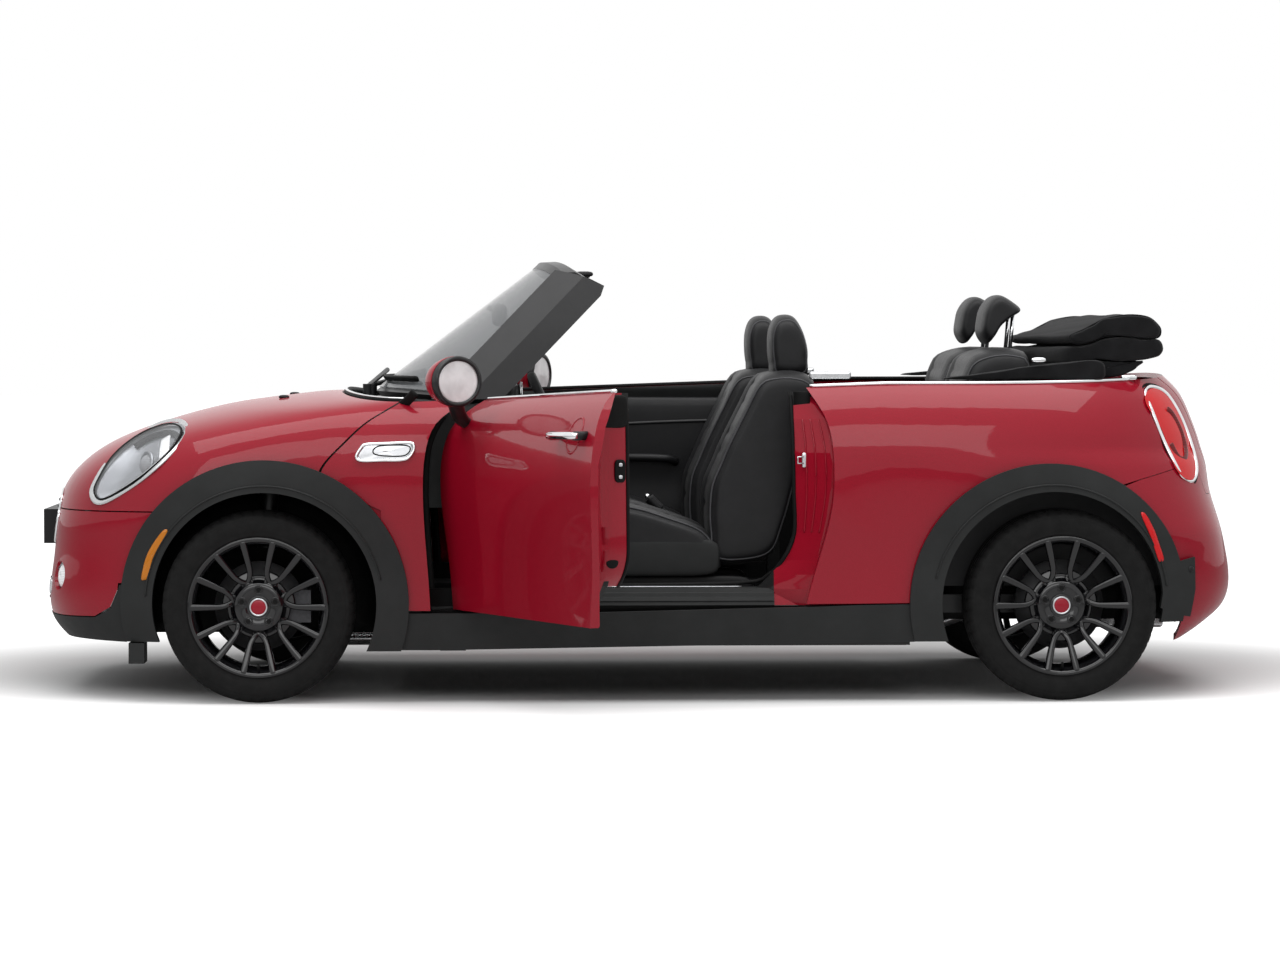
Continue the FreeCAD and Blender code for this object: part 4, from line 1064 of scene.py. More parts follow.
@dataclass
class Headlamp(OutlinedLamp):
    """Headlamp: bright ring, dark gasket, clear cover, grey bowl with a light bar, shade and projector."""

    bowl_depth: float = 0.050
    lean: tuple[float, float] = (-0.55, 0.45)

    def build(self) -> bpy.types.Object:
        """Make the headlamp's pieces and return its bowl."""
        word = self.side.word
        face = self.grid(0.97)
        inward = np.array([0.72, -self.side.value * 0.62, -0.30])
        depth = np.linspace(0.0, 1.0, self.rings)[:, None, None]
        bowl = face + inward * self.bowl_depth * (1.0 - depth ** 3)
        shell = skinned(f"headlamp_bowl_{word}", bowl, Finish.LAMP_GREY, self.body, (False, True), 0.002)
        cover = self.grid(0.985, 0.003, 0.007)
        skinned(f"headlamp_cover_{word}", cover, Finish.LAMP_GLASS, self.body, (False, True), 0.0015)
        lean = (self.lean[0], self.side.value, self.lean[1])
        ring = self.grid(0.985, 0.001)[-1]
        rod(f"headlamp_ring_{word}", ring, (0.022, 0.010, 16, 2.6), lean, Finish.BRIGHT, self.body,
            closed=True)
        gasket = self.grid(0.93, 0.002)[-1]
        rod(f"headlamp_gasket_{word}", gasket, (0.006, 0.012, 10), lean, Finish.SEAL, self.body, closed=True)
        lit = bowl[11] + (face[11] - bowl[11]) * 0.35
        starts = np.array([(-0.296, OUTSIDE_Y, z) for z in np.linspace(0.764, 0.828, 12)])
        bar = on_side(Skin(self.node, *self.panels).loop(starts, -0.010)[0], self.side)
        rod(f"headlamp_light_bar_{word}", bar, (0.034, 0.008, 16, 4.0), lean, Finish.WHITE_LENS, self.body)
        rod(f"headlamp_shade_{word}", lit[22:62], (0.020, 0.014, 12), lean, Finish.SEAL, self.body)
        self.projector(bowl)
        self.inner_corner()
        return shell

    def inner_corner(self) -> None:
        """Painted cover over the lamp's inner corner, where it runs up on the bonnet."""
        tree = Skin(self.node).tree
        rows = []
        for y in np.linspace(-0.338, -0.560, 14):
            met = [x for x in np.linspace(-0.53, -0.21, 161)
                   if tree.ray_cast(Vector((x, y, 1.3)), Vector(DOWN))[0] is not None]
            if met:
                span = np.linspace(min(met), max(met), 16)
                rows.append([list(tree.ray_cast(Vector((x, y, 1.3)), Vector(DOWN))[0]
                                  or (x, y, 0.86)) for x in span])
        grid = on_side(np.array(rows) + [0.0, 0.0, 0.0006], self.side)
        skinned(f"headlamp_corner_{self.side.word}", grid, Finish.RED, self.body, wall=WALL)

    def projector(self, bowl: Array) -> None:
        """Round projector lens in a bright sleeve, facing forwards and outwards.

        Args:
            bowl: Points of the bowl.
        """
        word = self.side.word
        middle = bowl[0].mean(axis=0)
        aim = unit(np.array([[-0.86, self.side.value * 0.48, 0.16]]))[0]
        turn = round_turn(40)
        across = unit(np.cross(aim, [0.0, 0.0, 1.0])[None])[0]
        over = np.cross(across, aim)
        circle = np.cos(turn)[:, None] * across + np.sin(turn)[:, None] * over
        radii = np.array([0.0, 16, 28, 33, 34]) * MM
        reach = np.array([26, 23, 15, 6, -20]) * MM
        grid = middle + circle[:, None, :] * radii[None, :, None] + aim * reach[None, :, None]
        skinned(f"headlamp_projector_{word}", grid, Finish.PROJECTOR, self.body, (True, False))
        loop = middle + circle * 0.040 + aim * 0.006
        rod(f"headlamp_sleeve_{word}", loop, (0.012, 0.012, 12), aim, Finish.LAMP_GREY, self.body,
            closed=True)


@dataclass
class TailLamp(OutlinedLamp):
    """Tail lamp: red cover on its solid, bright ring and a darker C inside."""

    def build(self) -> None:
        """Make the ring and the inner band."""
        word = self.side.word
        lean = (0.6, self.side.value, 0.1)
        ring = self.grid(1.0, 0.002)[-1]
        rod(f"tail_lamp_ring_{word}", ring, (0.012, 0.009, 14, 2.6), lean, Finish.CHROME, self.body,
            closed=True)
        gasket = self.grid(1.07, -0.001)[-1]
        rod(f"tail_lamp_gasket_{word}", gasket, (0.008, 0.006, 10), lean, Finish.SEAL, self.body, closed=True)
        band = self.grid(0.55, 0.001)[-1]
        rod(f"tail_lamp_band_{word}", band[8:62], (0.018, 0.004, 10), lean, Finish.DARK_LENS, self.body)
        LOG.info("tail lamp %s", word)


@dataclass(frozen=True)
class Hinge:
    """Hinge of the left door, and the angle at which that door stands open at rest."""

    x: float = 0.617
    y: float = -0.825
    open_deg: float = -69.5

    def place(self, points: Array, side: Side) -> Array:
        """Points of the closed left door, turned open for the left side or mirrored for the right.

        Turning by angle a about (x, y) gives x + dx cos a - dy sin a and y + dx sin a + dy cos a.
        """
        points = np.array(points, float)
        if side is Side.RIGHT:
            return points * np.array([1.0, -1.0, 1.0])
        angle = math.radians(self.open_deg)
        dx, dy = points[..., 0] - self.x, points[..., 1] - self.y
        points[..., 0] = self.x + dx * math.cos(angle) - dy * math.sin(angle)
        points[..., 1] = self.y + dx * math.sin(angle) + dy * math.cos(angle)
        return points


HINGE = Hinge()


def belt_point(x: float, lift: float = 0.0, inset: float = 0.0) -> tuple[float, float, float]:
    """Point on the left belt line at x, lifted and moved inwards.

    Ahead of the bend the belt is straight; behind it the plan is a superellipse and the height rises
    towards the tail with the power 2.2 of the share of the width.
    """
    bend_x, end_x, end_z, power = AXLE - 0.545, AXLE + 0.410, 1.015, 3.4
    height = 0.932 + 0.063 * (min(x, bend_x) - 0.450) / 1.750
    if x <= bend_x:
        return x, -(BELT_HALF_W - inset), height + lift
    cosine = ((x - bend_x) / (end_x - bend_x)) ** (power / 2.0)
    share = math.sqrt(max(1.0 - cosine ** 2, 0.0)) ** (2.0 / power)
    return x, -(BELT_HALF_W * share - inset), end_z + (height - end_z) * share ** 2.2 + lift


@dataclass
class BodyTrim:
    """Bright belt strips, cowl rim, side vents, markers, grille bars and small parts on the body."""

    strip: tuple[float, float] = (0.015, 0.011)
    vent: Sequence[tuple[float, float]] = ((0.303, 0.765), (0.318, 0.792), (0.334, 0.803), (0.400, 0.806),
                                           (0.470, 0.808), (0.483, 0.800), (0.481, 0.780), (0.456, 0.757),
                                           (0.380, 0.754), (0.319, 0.753))
    front_marker: Sequence[tuple[float, float]] = ((-0.293, 0.536), (-0.276, 0.538), (-0.298, 0.500),
                                                   (-0.324, 0.451), (-0.341, 0.392), (-0.352, 0.384),
                                                   (-0.360, 0.392), (-0.339, 0.467))
    rear_marker: Sequence[tuple[float, float]] = ((2.737, 0.585), (2.752, 0.583), (2.776, 0.540),
                                                  (2.792, 0.500), (2.811, 0.444), (2.803, 0.436),
                                                  (2.795, 0.440), (2.770, 0.510))

    def build(self) -> None:
        """Make the trim of both sides and of the front."""
        for side in Side:
            self.belt(side)
            self.side_vent(side)
            self.marker(side, "front", self.front_marker, Finish.AMBER, "lower_trims")
            self.marker(side, "rear", self.rear_marker, Finish.RED_LENS, "lower_trims")
            self.arch_steps(side)
            self.sill_plate(side)
            self.door_opening(side)
            self.panel_gaps(side)
            self.park_sensor(side)
        self.cowl_rim()
        self.grille()
        self.nozzles()
        LOG.info("body trim ready")

    def belt(self, side: Side) -> None:
        """Bright strip along the top of the quarter panel, ending in a small upright tab."""
        path = np.array([belt_point(x, 0.0045, 0.004) for x in np.linspace(1.712, 2.745, 60)])
        parts = [swept(on_side(path, side), round_profile(*self.strip, 12, 3.0), Z_AXIS)]
        end = np.array(belt_point(2.735, 0.009, 0.004))
        parts.append(block(on_side(end[None], side)[0], (0.05, 0.016, 0.018), 4.0))
        put(f"belt_strip_{side.word}", parts, Finish.CHROME, "chassis")
        seal = np.array([belt_point(x, 0.004, 0.018) for x in np.linspace(1.712, 2.60, 60)])
        side_rod("belt_seal", side, seal, (0.014, 0.012, 10), Z_AXIS, Finish.SEAL)

    def side_vent(self, side: Side) -> None:
        """Bright vent surround with a satin plate and a dark slot in it."""
        lamp = OutlinedLamp(Side.LEFT, "front_side_panels", "chassis", self.vent, 9, 72)
        face = on_side(lamp.grid(0.97, 0.0035, 0.0), side)
        skinned(f"side_vent_plate_{side.word}", face, Finish.SILVER, "chassis", (False, True), 0.002)
        edge = on_side(lamp.grid(0.98, 0.005, 0.0), side)[-1]
        rod(f"side_vent_ring_{side.word}", edge, (0.010, 0.012, 12, 2.6), Y_AXIS, Finish.CHROME, closed=True)
        slot = OutlinedLamp(Side.LEFT, "front_side_panels", "chassis",
                            [(0.362, 0.772), (0.372, 0.797), (0.466, 0.798), (0.452, 0.768)], 6, 48)
        line = on_side(slot.grid(0.98, 0.0060, 0.0), side)[-1]
        rod(f"side_vent_slot_{side.word}", line, (0.004, 0.004, 8), Y_AXIS, Finish.SEAL, closed=True)

    def marker(self, side: Side, end: str, outline: Sequence[tuple[float, float]], finish: Finish,
               node: str) -> None:
        """Side marker lens standing a little proud of the arch trim."""
        lamp = OutlinedLamp(Side.LEFT, node, "chassis", outline, 9, 64)
        skinned(f"side_marker_{end}_{side.word}", on_side(lamp.grid(0.99, 0.002, 0.004), side), finish,
                "chassis", (False, True), 0.003)

    def arch_steps(self, side: Side) -> None:
        """Fine step line that follows each arch on its black trim."""
        skin = Skin("lower_trims")
        for end, x, low, high in (("front", 0.018, 12.0, 176.0), ("rear", AXLE - 0.036, 8.0, 168.0)):
            turn = np.radians(np.linspace(low, high, 90))
            starts = points_of(x + 0.368 * np.cos(turn), -1.2, 0.308 + 0.368 * np.sin(turn))
            path = on_side(skin.along(starts, Y_AXIS, 0.001), side)
            rod(f"arch_step_{end}_{side.word}", path, (0.006, 0.009, 10), Y_AXIS, Finish.GRAINED)

    def sill_plate(self, side: Side) -> None:
        """Ribbed entry plate over the inner sill, with a bright strip on its top."""
        section = np.array([(-0.7785, 0.300), (-0.7735, 0.312), (-0.7765, 0.314), (-0.7710, 0.325),
                            (-0.7685, 0.326), (-0.7650, 0.337), (-0.7620, 0.339), (-0.7570, 0.3515),
                            (-0.742, 0.353), (-0.700, 0.353), (-0.692, 0.350)])
        x = np.linspace(0.775, 1.600, 40)[:, None]
        grid = points_of(x, section[None, :, 0], section[None, :, 1])
        skinned(f"sill_plate_{side.word}", on_side(grid, side), Finish.GRAINED, "chassis", wall=WALL,
                smooth=False)
        strip = np.array([(t, -0.728, 0.3560) for t in np.linspace(1.06, 1.50, 30)])
        side_rod("sill_strip", side, strip, (0.030, 0.003, 12, 4.0), Z_AXIS, Finish.SILVER)

    def door_opening(self, side: Side) -> None:
        """Rubber seal round the door opening, pressed ridges and the striker on the rear post."""
        seal = smooth_path([(0.80, -0.706, 0.356), (1.10, -0.708, 0.358), (1.50, -0.712, 0.366),
                            (1.585, -0.735, 0.392), (1.634, -0.757, 0.450), (1.664, -0.760, 0.527),
                            (1.662, -0.766, 0.651), (1.659, -0.764, 0.775), (1.656, -0.750, 0.879),
                            (1.653, -0.722, 0.962)], 90)
        side_rod("door_seal", side, seal, (0.013, 0.014, 14), (0.0, 1.0, 0.3), Finish.SEAL)
        parts = []
        for share in (0.32, 0.55, 0.80):
            line = [(1.664, 0.760, 1.757, 0.812, 0.527), (1.663, 0.768, 1.780, 0.825, 0.651),
                    (1.660, 0.766, 1.780, 0.822, 0.775), (1.657, 0.752, 1.758, 0.792, 0.879)]
            path = smooth_path([(a + (c - a) * share - 0.001, -(b + (d - b) * share) - 0.001, z)
                                for a, b, c, d, z in line], 40)
            parts.append(swept(on_side(path, side), round_profile(0.005, 0.005, 8), Z_AXIS))
        put(f"post_ridges_{side.word}", parts, Finish.RED, "chassis")
        plate = block((1.692, -0.785, 0.752), (0.014, 0.007, 0.046), 4.0)
        pin = swept(np.array([(1.690, -0.788, 0.742), (1.672, -0.788, 0.742), (1.672, -0.788, 0.762),
                              (1.690, -0.788, 0.762)]), round_profile(0.005, 0.005, 10), Y_AXIS)
        striker = [(on_side(points, side), faces) for points, faces in (plate, pin)]
        put(f"striker_{side.word}", striker, Finish.SILVER, "chassis")

    def panel_gaps(self, side: Side) -> None:
        """Seals and backings behind the gaps at the front post, the bonnet and the top of the rear post."""
        strip = smooth_path([(0.534, -0.701, 0.309), (0.525, -0.701, 0.430), (0.517, -0.701, 0.551),
                             (0.513, -0.701, 0.672), (0.522, -0.701, 0.785), (0.545, -0.701, 0.850),
                             (0.575, -0.701, 0.895)], 50)
        side_rod("front_post_seal", side, strip, (0.024, 0.022, 12, 4.0), Y_AXIS, Finish.SEAL)
        seam = [(0.188, 0.682), (0.196, 0.711), (0.257, 0.788), (0.340, 0.865), (0.437, 0.926),
                (0.484, 0.966)]
        under = Skin("front_side_panels").loop(smooth_path([(x, OUTSIDE_Y, z) for x, z in seam], 60),
                                               -0.010)[0]
        side_rod("bonnet_seam_seal", side, under, (0.030, 0.010, 10), Y_AXIS, Finish.SEAL)
        reach = Skin("front_side_panels").hit((0.405, OUTSIDE_Y, 0.600), Y_AXIS)[0].y
        patch = block((0.358, reach + 0.010, 0.588), (0.080, 0.005, 0.075), 8.0)
        put(f"fender_backing_{side.word}", [(on_side(patch[0], side), patch[1])], Finish.RED, "chassis")
        head = np.array([(1.662, -0.7375, 0.925), (1.687, -0.7470, 0.925), (1.712, -0.7565, 0.925)])
        side_rod("post_head_block", side, head, (0.004, 0.080, 16, 6.0), Z_AXIS, Finish.SEAL)

    def park_sensor(self, side: Side) -> None:
        """Round sensor standing in the rear arch trim."""
        place, normal = Skin("lower_trims").hit((2.905, OUTSIDE_Y, 0.409), Y_AXIS)
        turn = round_turn(32)
        radius = np.array([0.0, 0.007, 0.0095, 0.0105, 0.0105])[None, :]
        rise = np.array([0.004, 0.0035, 0.002, -0.001, -0.004])
        across = np.array(normal.cross(Vector(Z_AXIS)).normalized())
        over = np.cross(np.array(normal), across)
        grid = (np.array(place) + radius[..., None] * (np.cos(turn)[:, None, None] * across
                + np.sin(turn)[:, None, None] * over) + rise[None, :, None] * np.array(normal))
        skinned(f"park_sensor_{side.word}", on_side(grid, side), Finish.BLACK, "chassis", (True, False))

    def cowl_rim(self) -> None:
        """Rubber rim between the bonnet and the scuttle, with a bright bead on it.

        In plan it is a superellipse of power 2 / 0.74; its height falls with the power 2.2 of the width.
        """
        turn = np.radians(np.linspace(-84.0, 84.0, 120))
        x = 0.500 - 0.250 * np.abs(np.cos(turn)) ** 0.74
        y = 0.694 * np.sign(np.sin(turn)) * np.abs(np.sin(turn)) ** 0.74
        z = 0.960 - 0.030 * (np.abs(y) / 0.745) ** 2.2
        rod("cowl_rim", points_of(x, y, z), (0.022, 0.020, 14), Z_AXIS, Finish.SEAL)
        bead = points_of(x - 0.004, y, z + 0.0085)
        rod("cowl_bead", bead, (0.010, 0.006, 10), Z_AXIS, Finish.CHROME)

    def grille(self) -> None:
        """Bright surround and crossbars of the upper grille, mesh bars of the lower one and the fog lamps."""
        skin = Skin("front_bumper", "bonnet", "grille")
        panels = Skin("front_bumper", "bonnet")

        def on_nose(points: Sequence[tuple[float, float]], lift: float) -> Array:
            return skin.along([(OUTSIDE_X, y, z) for y, z in points], X_AXIS, lift)

        edge = [(-0.439, 0.641), (-0.480, 0.572), (-0.406, 0.4915), (-0.200, 0.490), (0.0, 0.490),
                (0.200, 0.490), (0.406, 0.4915), (0.480, 0.572), (0.439, 0.641), (0.200, 0.643), (0.0, 0.643),
                (-0.200, 0.643)]
        loop = smooth_path([(OUTSIDE_X, y, z) for y, z in edge], 150, closed=True)
        path = panels.along(loop, X_AXIS, 0.001)
        rod("grille_ring", path, (0.016, 0.010, 14), (-1.0, 0.0, 0.0), Finish.CHROME, closed=True)

        def bar(z: float, start: float, end: float, count: int, size: tuple[float, float, int]) -> tuple:
            line = on_nose([(y, z) for y in np.linspace(start, end, count)], 0.003)
            return swept(line, round_profile(*size), (1.0, 0.0, 0.2))

        thick, thin = (0.010, 0.008, 10), (0.009, 0.006, 10)
        bars = [bar(z, sign * 0.275, sign * half, 24, thick)
                for z, half in ((0.524, 0.400), (0.548, 0.425)) for sign in (-1.0, 1.0)]
        bars += [bar(z, -half, half, 60, thick) for z, half in ((0.596, 0.428), (0.616, 0.412))]
        put("grille_bars", bars, Finish.BLACK_PAINT, "chassis")
        mesh = [bar(z, -half, half, 60, thin)
                for z, half in ((0.305, 0.345), (0.325, 0.358), (0.345, 0.365), (0.365, 0.350))]
        put("lower_grille_bars", mesh, Finish.BLACK_PAINT, "chassis")
        fog_y, fog_z = 0.560, 0.385

        def nose_circle(y: float, radius: float, lift: float) -> Array:
            return on_nose([(y + radius * math.cos(t), fog_z + radius * math.sin(t)) for t in round_turn(56)],
                           lift)

        for side in Side:
            ring = nose_circle(side.value * fog_y, 0.044, 0.0)
            rod(f"fog_ring_{side.word}", ring, (0.010, 0.010, 10), X_AXIS, Finish.SILVER, closed=True)
            rows = [nose_circle(side.value * fog_y, radius, lift)
                    for radius, lift in ((0.0005, 0.010), (0.014, 0.009), (0.026, 0.006), (0.036, 0.001))]
            skinned(f"fog_lens_{side.word}", np.array(rows), Finish.WHITE_LENS, "chassis", (False, True),
                    0.003)

    def nozzles(self) -> None:
        """Two washer nozzles on the bonnet."""
        skin = Skin("bonnet")
        for side in Side:
            place, _ = skin.hit((0.055, side.value * 0.33, 1.4), DOWN)
            put(f"washer_nozzle_{side.word}",
                [block(list(place + Vector((0.0, 0.0, 0.003))), (0.034, 0.022, 0.013), 2.6)], Finish.BLACK,
                "bonnet")


@dataclass
class Door:
    """Handle, seals, latch and trim of one door, given for the closed left door."""

    side: Side
    skin: "Skin" = field(init=False, repr=False)

    def __post_init__(self) -> None:
        """Take the closed right door's skin as the one to lay pieces on."""
        self.skin = Skin("door_right")

    @property
    def body(self) -> str:
        """Body of this door."""
        return f"door_{self.side.word}"

    def rod(self, name: str, path: Array, size: Sequence[float], up: Sequence[float], finish: Finish,
            closed: bool = False) -> None:
        """Rod along a path in closed left-door places."""
        self.lay(name, [swept(path, round_profile(*size), up, closed)], finish)

    def lay(self, name: str, parts: Sequence[tuple[Array, Sequence[Sequence[int]]]], finish: Finish,
            smooth: bool = True) -> bpy.types.Object:
        """One object of parts given in closed left-door places."""
        moved = [(HINGE.place(points, self.side), faces) for points, faces in parts]
        return put(f"{name}_{self.side.word}", moved, finish, self.body, smooth)

    def build(self) -> None:
        """Make the door's dressing."""
        self.handle()
        self.edges()
        self.shut_face()
        self.inner_trim()
        LOG.info("door %s", self.side.word)

    def on_skin(self, points: Sequence[tuple[float, float]], lift: float) -> Array:
        """Closed left-door points on the outer skin at (x, z)."""
        right = self.skin.along([(x, 1.3, z) for x, z in points], (0.0, -1.0, 0.0), lift)
        return right * np.array([1.0, -1.0, 1.0])

    def handle(self) -> None:
        """Bright pull handle on two feet, in a thin painted ring laid on the skin where a round dish would
        be.
        """
        path = smooth_path([(1.496, -0.862, 0.8505), (1.520, -0.869, 0.851), (1.600, -0.872, 0.853),
                            (1.680, -0.866, 0.855), (1.703, -0.859, 0.855)], 40)
        size = 1.0 - 0.35 * np.abs(np.linspace(-1.0, 1.0, 40)) ** 6
        bar = swept(path, round_profile(0.030, 0.024, 16, 2.8), Z_AXIS, scale=size)
        feet = [swept(np.array([(x, -0.815, z), (x, -0.864, z)]), round_profile(0.030, 0.026, 16, 2.6),
                      Z_AXIS) for x, z in ((1.508, 0.851), (1.688, 0.855))]
        self.lay("door_handle", [bar], Finish.CHROME)
        self.lay("door_handle_feet", feet, Finish.BLACK)
        turn = round_turn(72)
        ring = self.on_skin([(1.600 + 0.050 * math.cos(t), 0.853 + 0.050 * math.sin(t)) for t in turn],
                            -0.0005)
        self.rod("handle_dish", ring, (0.010, 0.005, 10), Y_AXIS, Finish.RED, True)

    def edges(self) -> None:
        """Bright strip and rubber along the door's top."""
        path = np.array([belt_point(x, 0.0045, 0.005) for x in np.linspace(0.655, 1.692, 60)])
        self.rod("door_strip", path, (0.015, 0.011, 12, 3.0), Z_AXIS, Finish.CHROME)
        seal = np.array([belt_point(x, 0.005, 0.022) for x in np.linspace(0.655, 1.640, 60)])
        self.rod("door_top_seal", seal, (0.018, 0.014, 12), Z_AXIS, Finish.SEAL)

    def shut_face(self) -> None:
        """Painted band, rubber strip, latch plate and plug on the door's rear shut face."""
        rows = np.array([(1.5745, 0.418), (1.6165, 0.452), (1.6420, 0.490), (1.6505, 0.527), (1.6475, 0.651),
                         (1.6445, 0.775), (1.6415, 0.879), (1.6395, 0.930)])
        line = smooth_path([(x, 0.0, z) for x, z in rows], 60)
        inset = np.array([(0.0, -0.766), (0.0, -0.735), (0.0, -0.690), (-0.006, -0.680), (-0.030, -0.6785)])
        grid = points_of(line[:, None, 0] + inset[None, :, 0], inset[None, :, 1], line[:, None, 2])
        skinned(f"door_shut_band_{self.side.word}", HINGE.place(grid, self.side), Finish.RED, self.body,
                wall=WALL)
        path = line + [-0.004, -0.681, 0.0]
        self.rod("door_edge_seal", path, (0.013, 0.012, 12), (0.0, 1.0, 0.3), Finish.SEAL)
        self.lay("door_latch", [block((1.648, -0.706, 0.752), (0.010, 0.034, 0.066), 4.0)], Finish.SEAL)
        self.lay("door_latch_fork",
                 [block((1.6530, -0.706, z), (0.004, 0.012, 0.010), 3.0) for z in (0.735, 0.770)],
                 Finish.SILVER)
        self.lay("door_bumper_block", [block((1.634, -0.721, 0.922), (0.028, 0.084, 0.096), 5.0)],
                 Finish.SEAL)
        self.lay("door_plug", [block((1.6435, -0.728, 0.492), (0.008, 0.038, 0.038), 2.2)], Finish.SEAL)

    def inner_trim(self) -> None:
        """Moulded card, pull, speaker ring and dark line on the inner side."""
        share = np.linspace(-1.0, 1.0, 41)
        low = np.interp(share, [-1.0, -0.2, 0.6, 0.9, 1.0], [0.470, 0.405, 0.405, 0.440, 0.500])
        top = np.interp(share, [-1.0, -0.9, 0.0, 1.0], [0.880, 0.925, 0.938, 0.935])
        across = np.linspace(-1.0, 1.0, 25)
        x = 1.148 + 0.487 * share[:, None]
        z = low[:, None] + (top - low)[:, None] * (across[None, :] + 1.0) / 2.0
        crown = (np.clip(1.0 - np.abs(share[:, None]) ** 14, 0.0, 1.0)
                 * np.clip(1.0 - across[None, :] ** 10, 0.0, 1.0))
        dish = 0.006 * np.exp(-((z - 0.63) / 0.07) ** 2) * (np.abs(share[:, None]) < 0.9)
        front = points_of(x, -0.6955 + 0.021 * crown ** 0.4 - dish, z)
        skinned(f"door_card_{self.side.word}", HINGE.place(front, self.side), Finish.BLACK, self.body,
                wall=WALL)
        line = smooth_path([(0.76, -0.672, 0.800), (1.00, -0.672, 0.822), (1.30, -0.672, 0.838),
                            (1.58, -0.672, 0.846)], 50)
        self.rod("door_trim_line", line, (0.008, 0.012, 10), Z_AXIS, Finish.BLACK_PAINT)
        turn = round_turn(56)
        ring = points_of(0.830 + 0.075 * np.cos(turn), -0.673, 0.560 + 0.075 * np.sin(turn))
        self.rod("speaker_ring", ring, (0.010, 0.008, 10), Y_AXIS, Finish.BLACK, True)
        pull = smooth_path([(1.02, -0.674, 0.700), (1.06, -0.650, 0.712), (1.20, -0.646, 0.716),
                            (1.32, -0.650, 0.712), (1.36, -0.674, 0.700)], 40)
        self.rod("door_pull", pull, (0.026, 0.030, 14), Z_AXIS, Finish.BLACK)


@dataclass
class Mirror:
    """Door mirror: painted cap over the front of the housing, a dark rim and the glass."""

    side: Side
    centre: tuple[float, float, float] = (0.890, -0.925, 1.000)
    radii: tuple[float, float, float] = (0.100, 0.094, 0.077)
    turn_deg: float = 22.0

    def place(self, points: Array) -> Array:
        """Points of the housing's own frame, turned, moved to the closed left door and placed."""
        turn = math.radians(self.turn_deg)
        x, y, z = points[..., 0], points[..., 1], points[..., 2]
        moved = points_of(self.centre[0] + x * math.cos(turn) - y * math.sin(turn),
                          self.centre[1] + x * math.sin(turn) + y * math.cos(turn), self.centre[2] + z)
        return HINGE.place(moved, self.side)

    def shell(self, grow: float, start: float, end: float, rows: int = 18) -> Array:
        """Part of the housing's ellipsoid, from one share of its length to another, grown by a factor."""
        along = np.linspace(start, end, rows)[:, None]
        turn = round_turn(72)[None, :]
        ring = np.sqrt(np.maximum(1.0 - along ** 2, 0.0))
        x = self.radii[0] * along * grow
        y = self.radii[1] * ring * np.cos(turn) * grow
        z = self.radii[2] * ring * np.sin(turn) * grow
        return points_of(x, y, z)

    def build(self) -> None:
        """Make the arm, housing, cap, rim and glass."""
        word, body = self.side.word, f"door_{self.side.word}"
        path = smooth_path([(0.655, -0.790, 0.862), (0.682, -0.838, 0.884), (0.800, -0.905, 0.955),
                            (0.845, -0.918, 0.975)], 30)
        arm = rod(f"mirror_arm_{word}", HINGE.place(path, self.side), (0.050, 0.036, 16), Z_AXIS,
                  Finish.BLACK_PAINT, body)
        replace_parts(arm, f"mirror_{word}")
        skinned(f"mirror_housing_{word}", self.place(self.shell(0.968, -0.999, 0.080)), Finish.BLACK_PAINT,
                body, (False, True), 0.002)
        skinned(f"mirror_cap_{word}", self.place(self.shell(0.985, -0.999, -0.14)), Finish.RED, body,
                (False, True), 0.0022)
        turn = round_turn(72)
        rim = points_of(0.0035, self.radii[1] * 0.905 * np.cos(turn), self.radii[2] * 0.905 * np.sin(turn))
        rod(f"mirror_rim_{word}", self.place(rim), (0.016, 0.012, 12), (1.0, 0.2, 0.0), Finish.BLACK_PAINT,
            body, closed=True)
        share = np.linspace(0.0, 0.860, 10)[:, None]
        glass = points_of(0.0055 - 0.002 * share, self.radii[1] * share * np.cos(turn),
                          self.radii[2] * share * np.sin(turn))
        # The glass is painted near-white, a painted reflection.
        skinned(f"mirror_glass_{word}", self.place(glass), Finish.MIRROR, body, (False, True), 0.001)
        LOG.info("mirror %s", word)


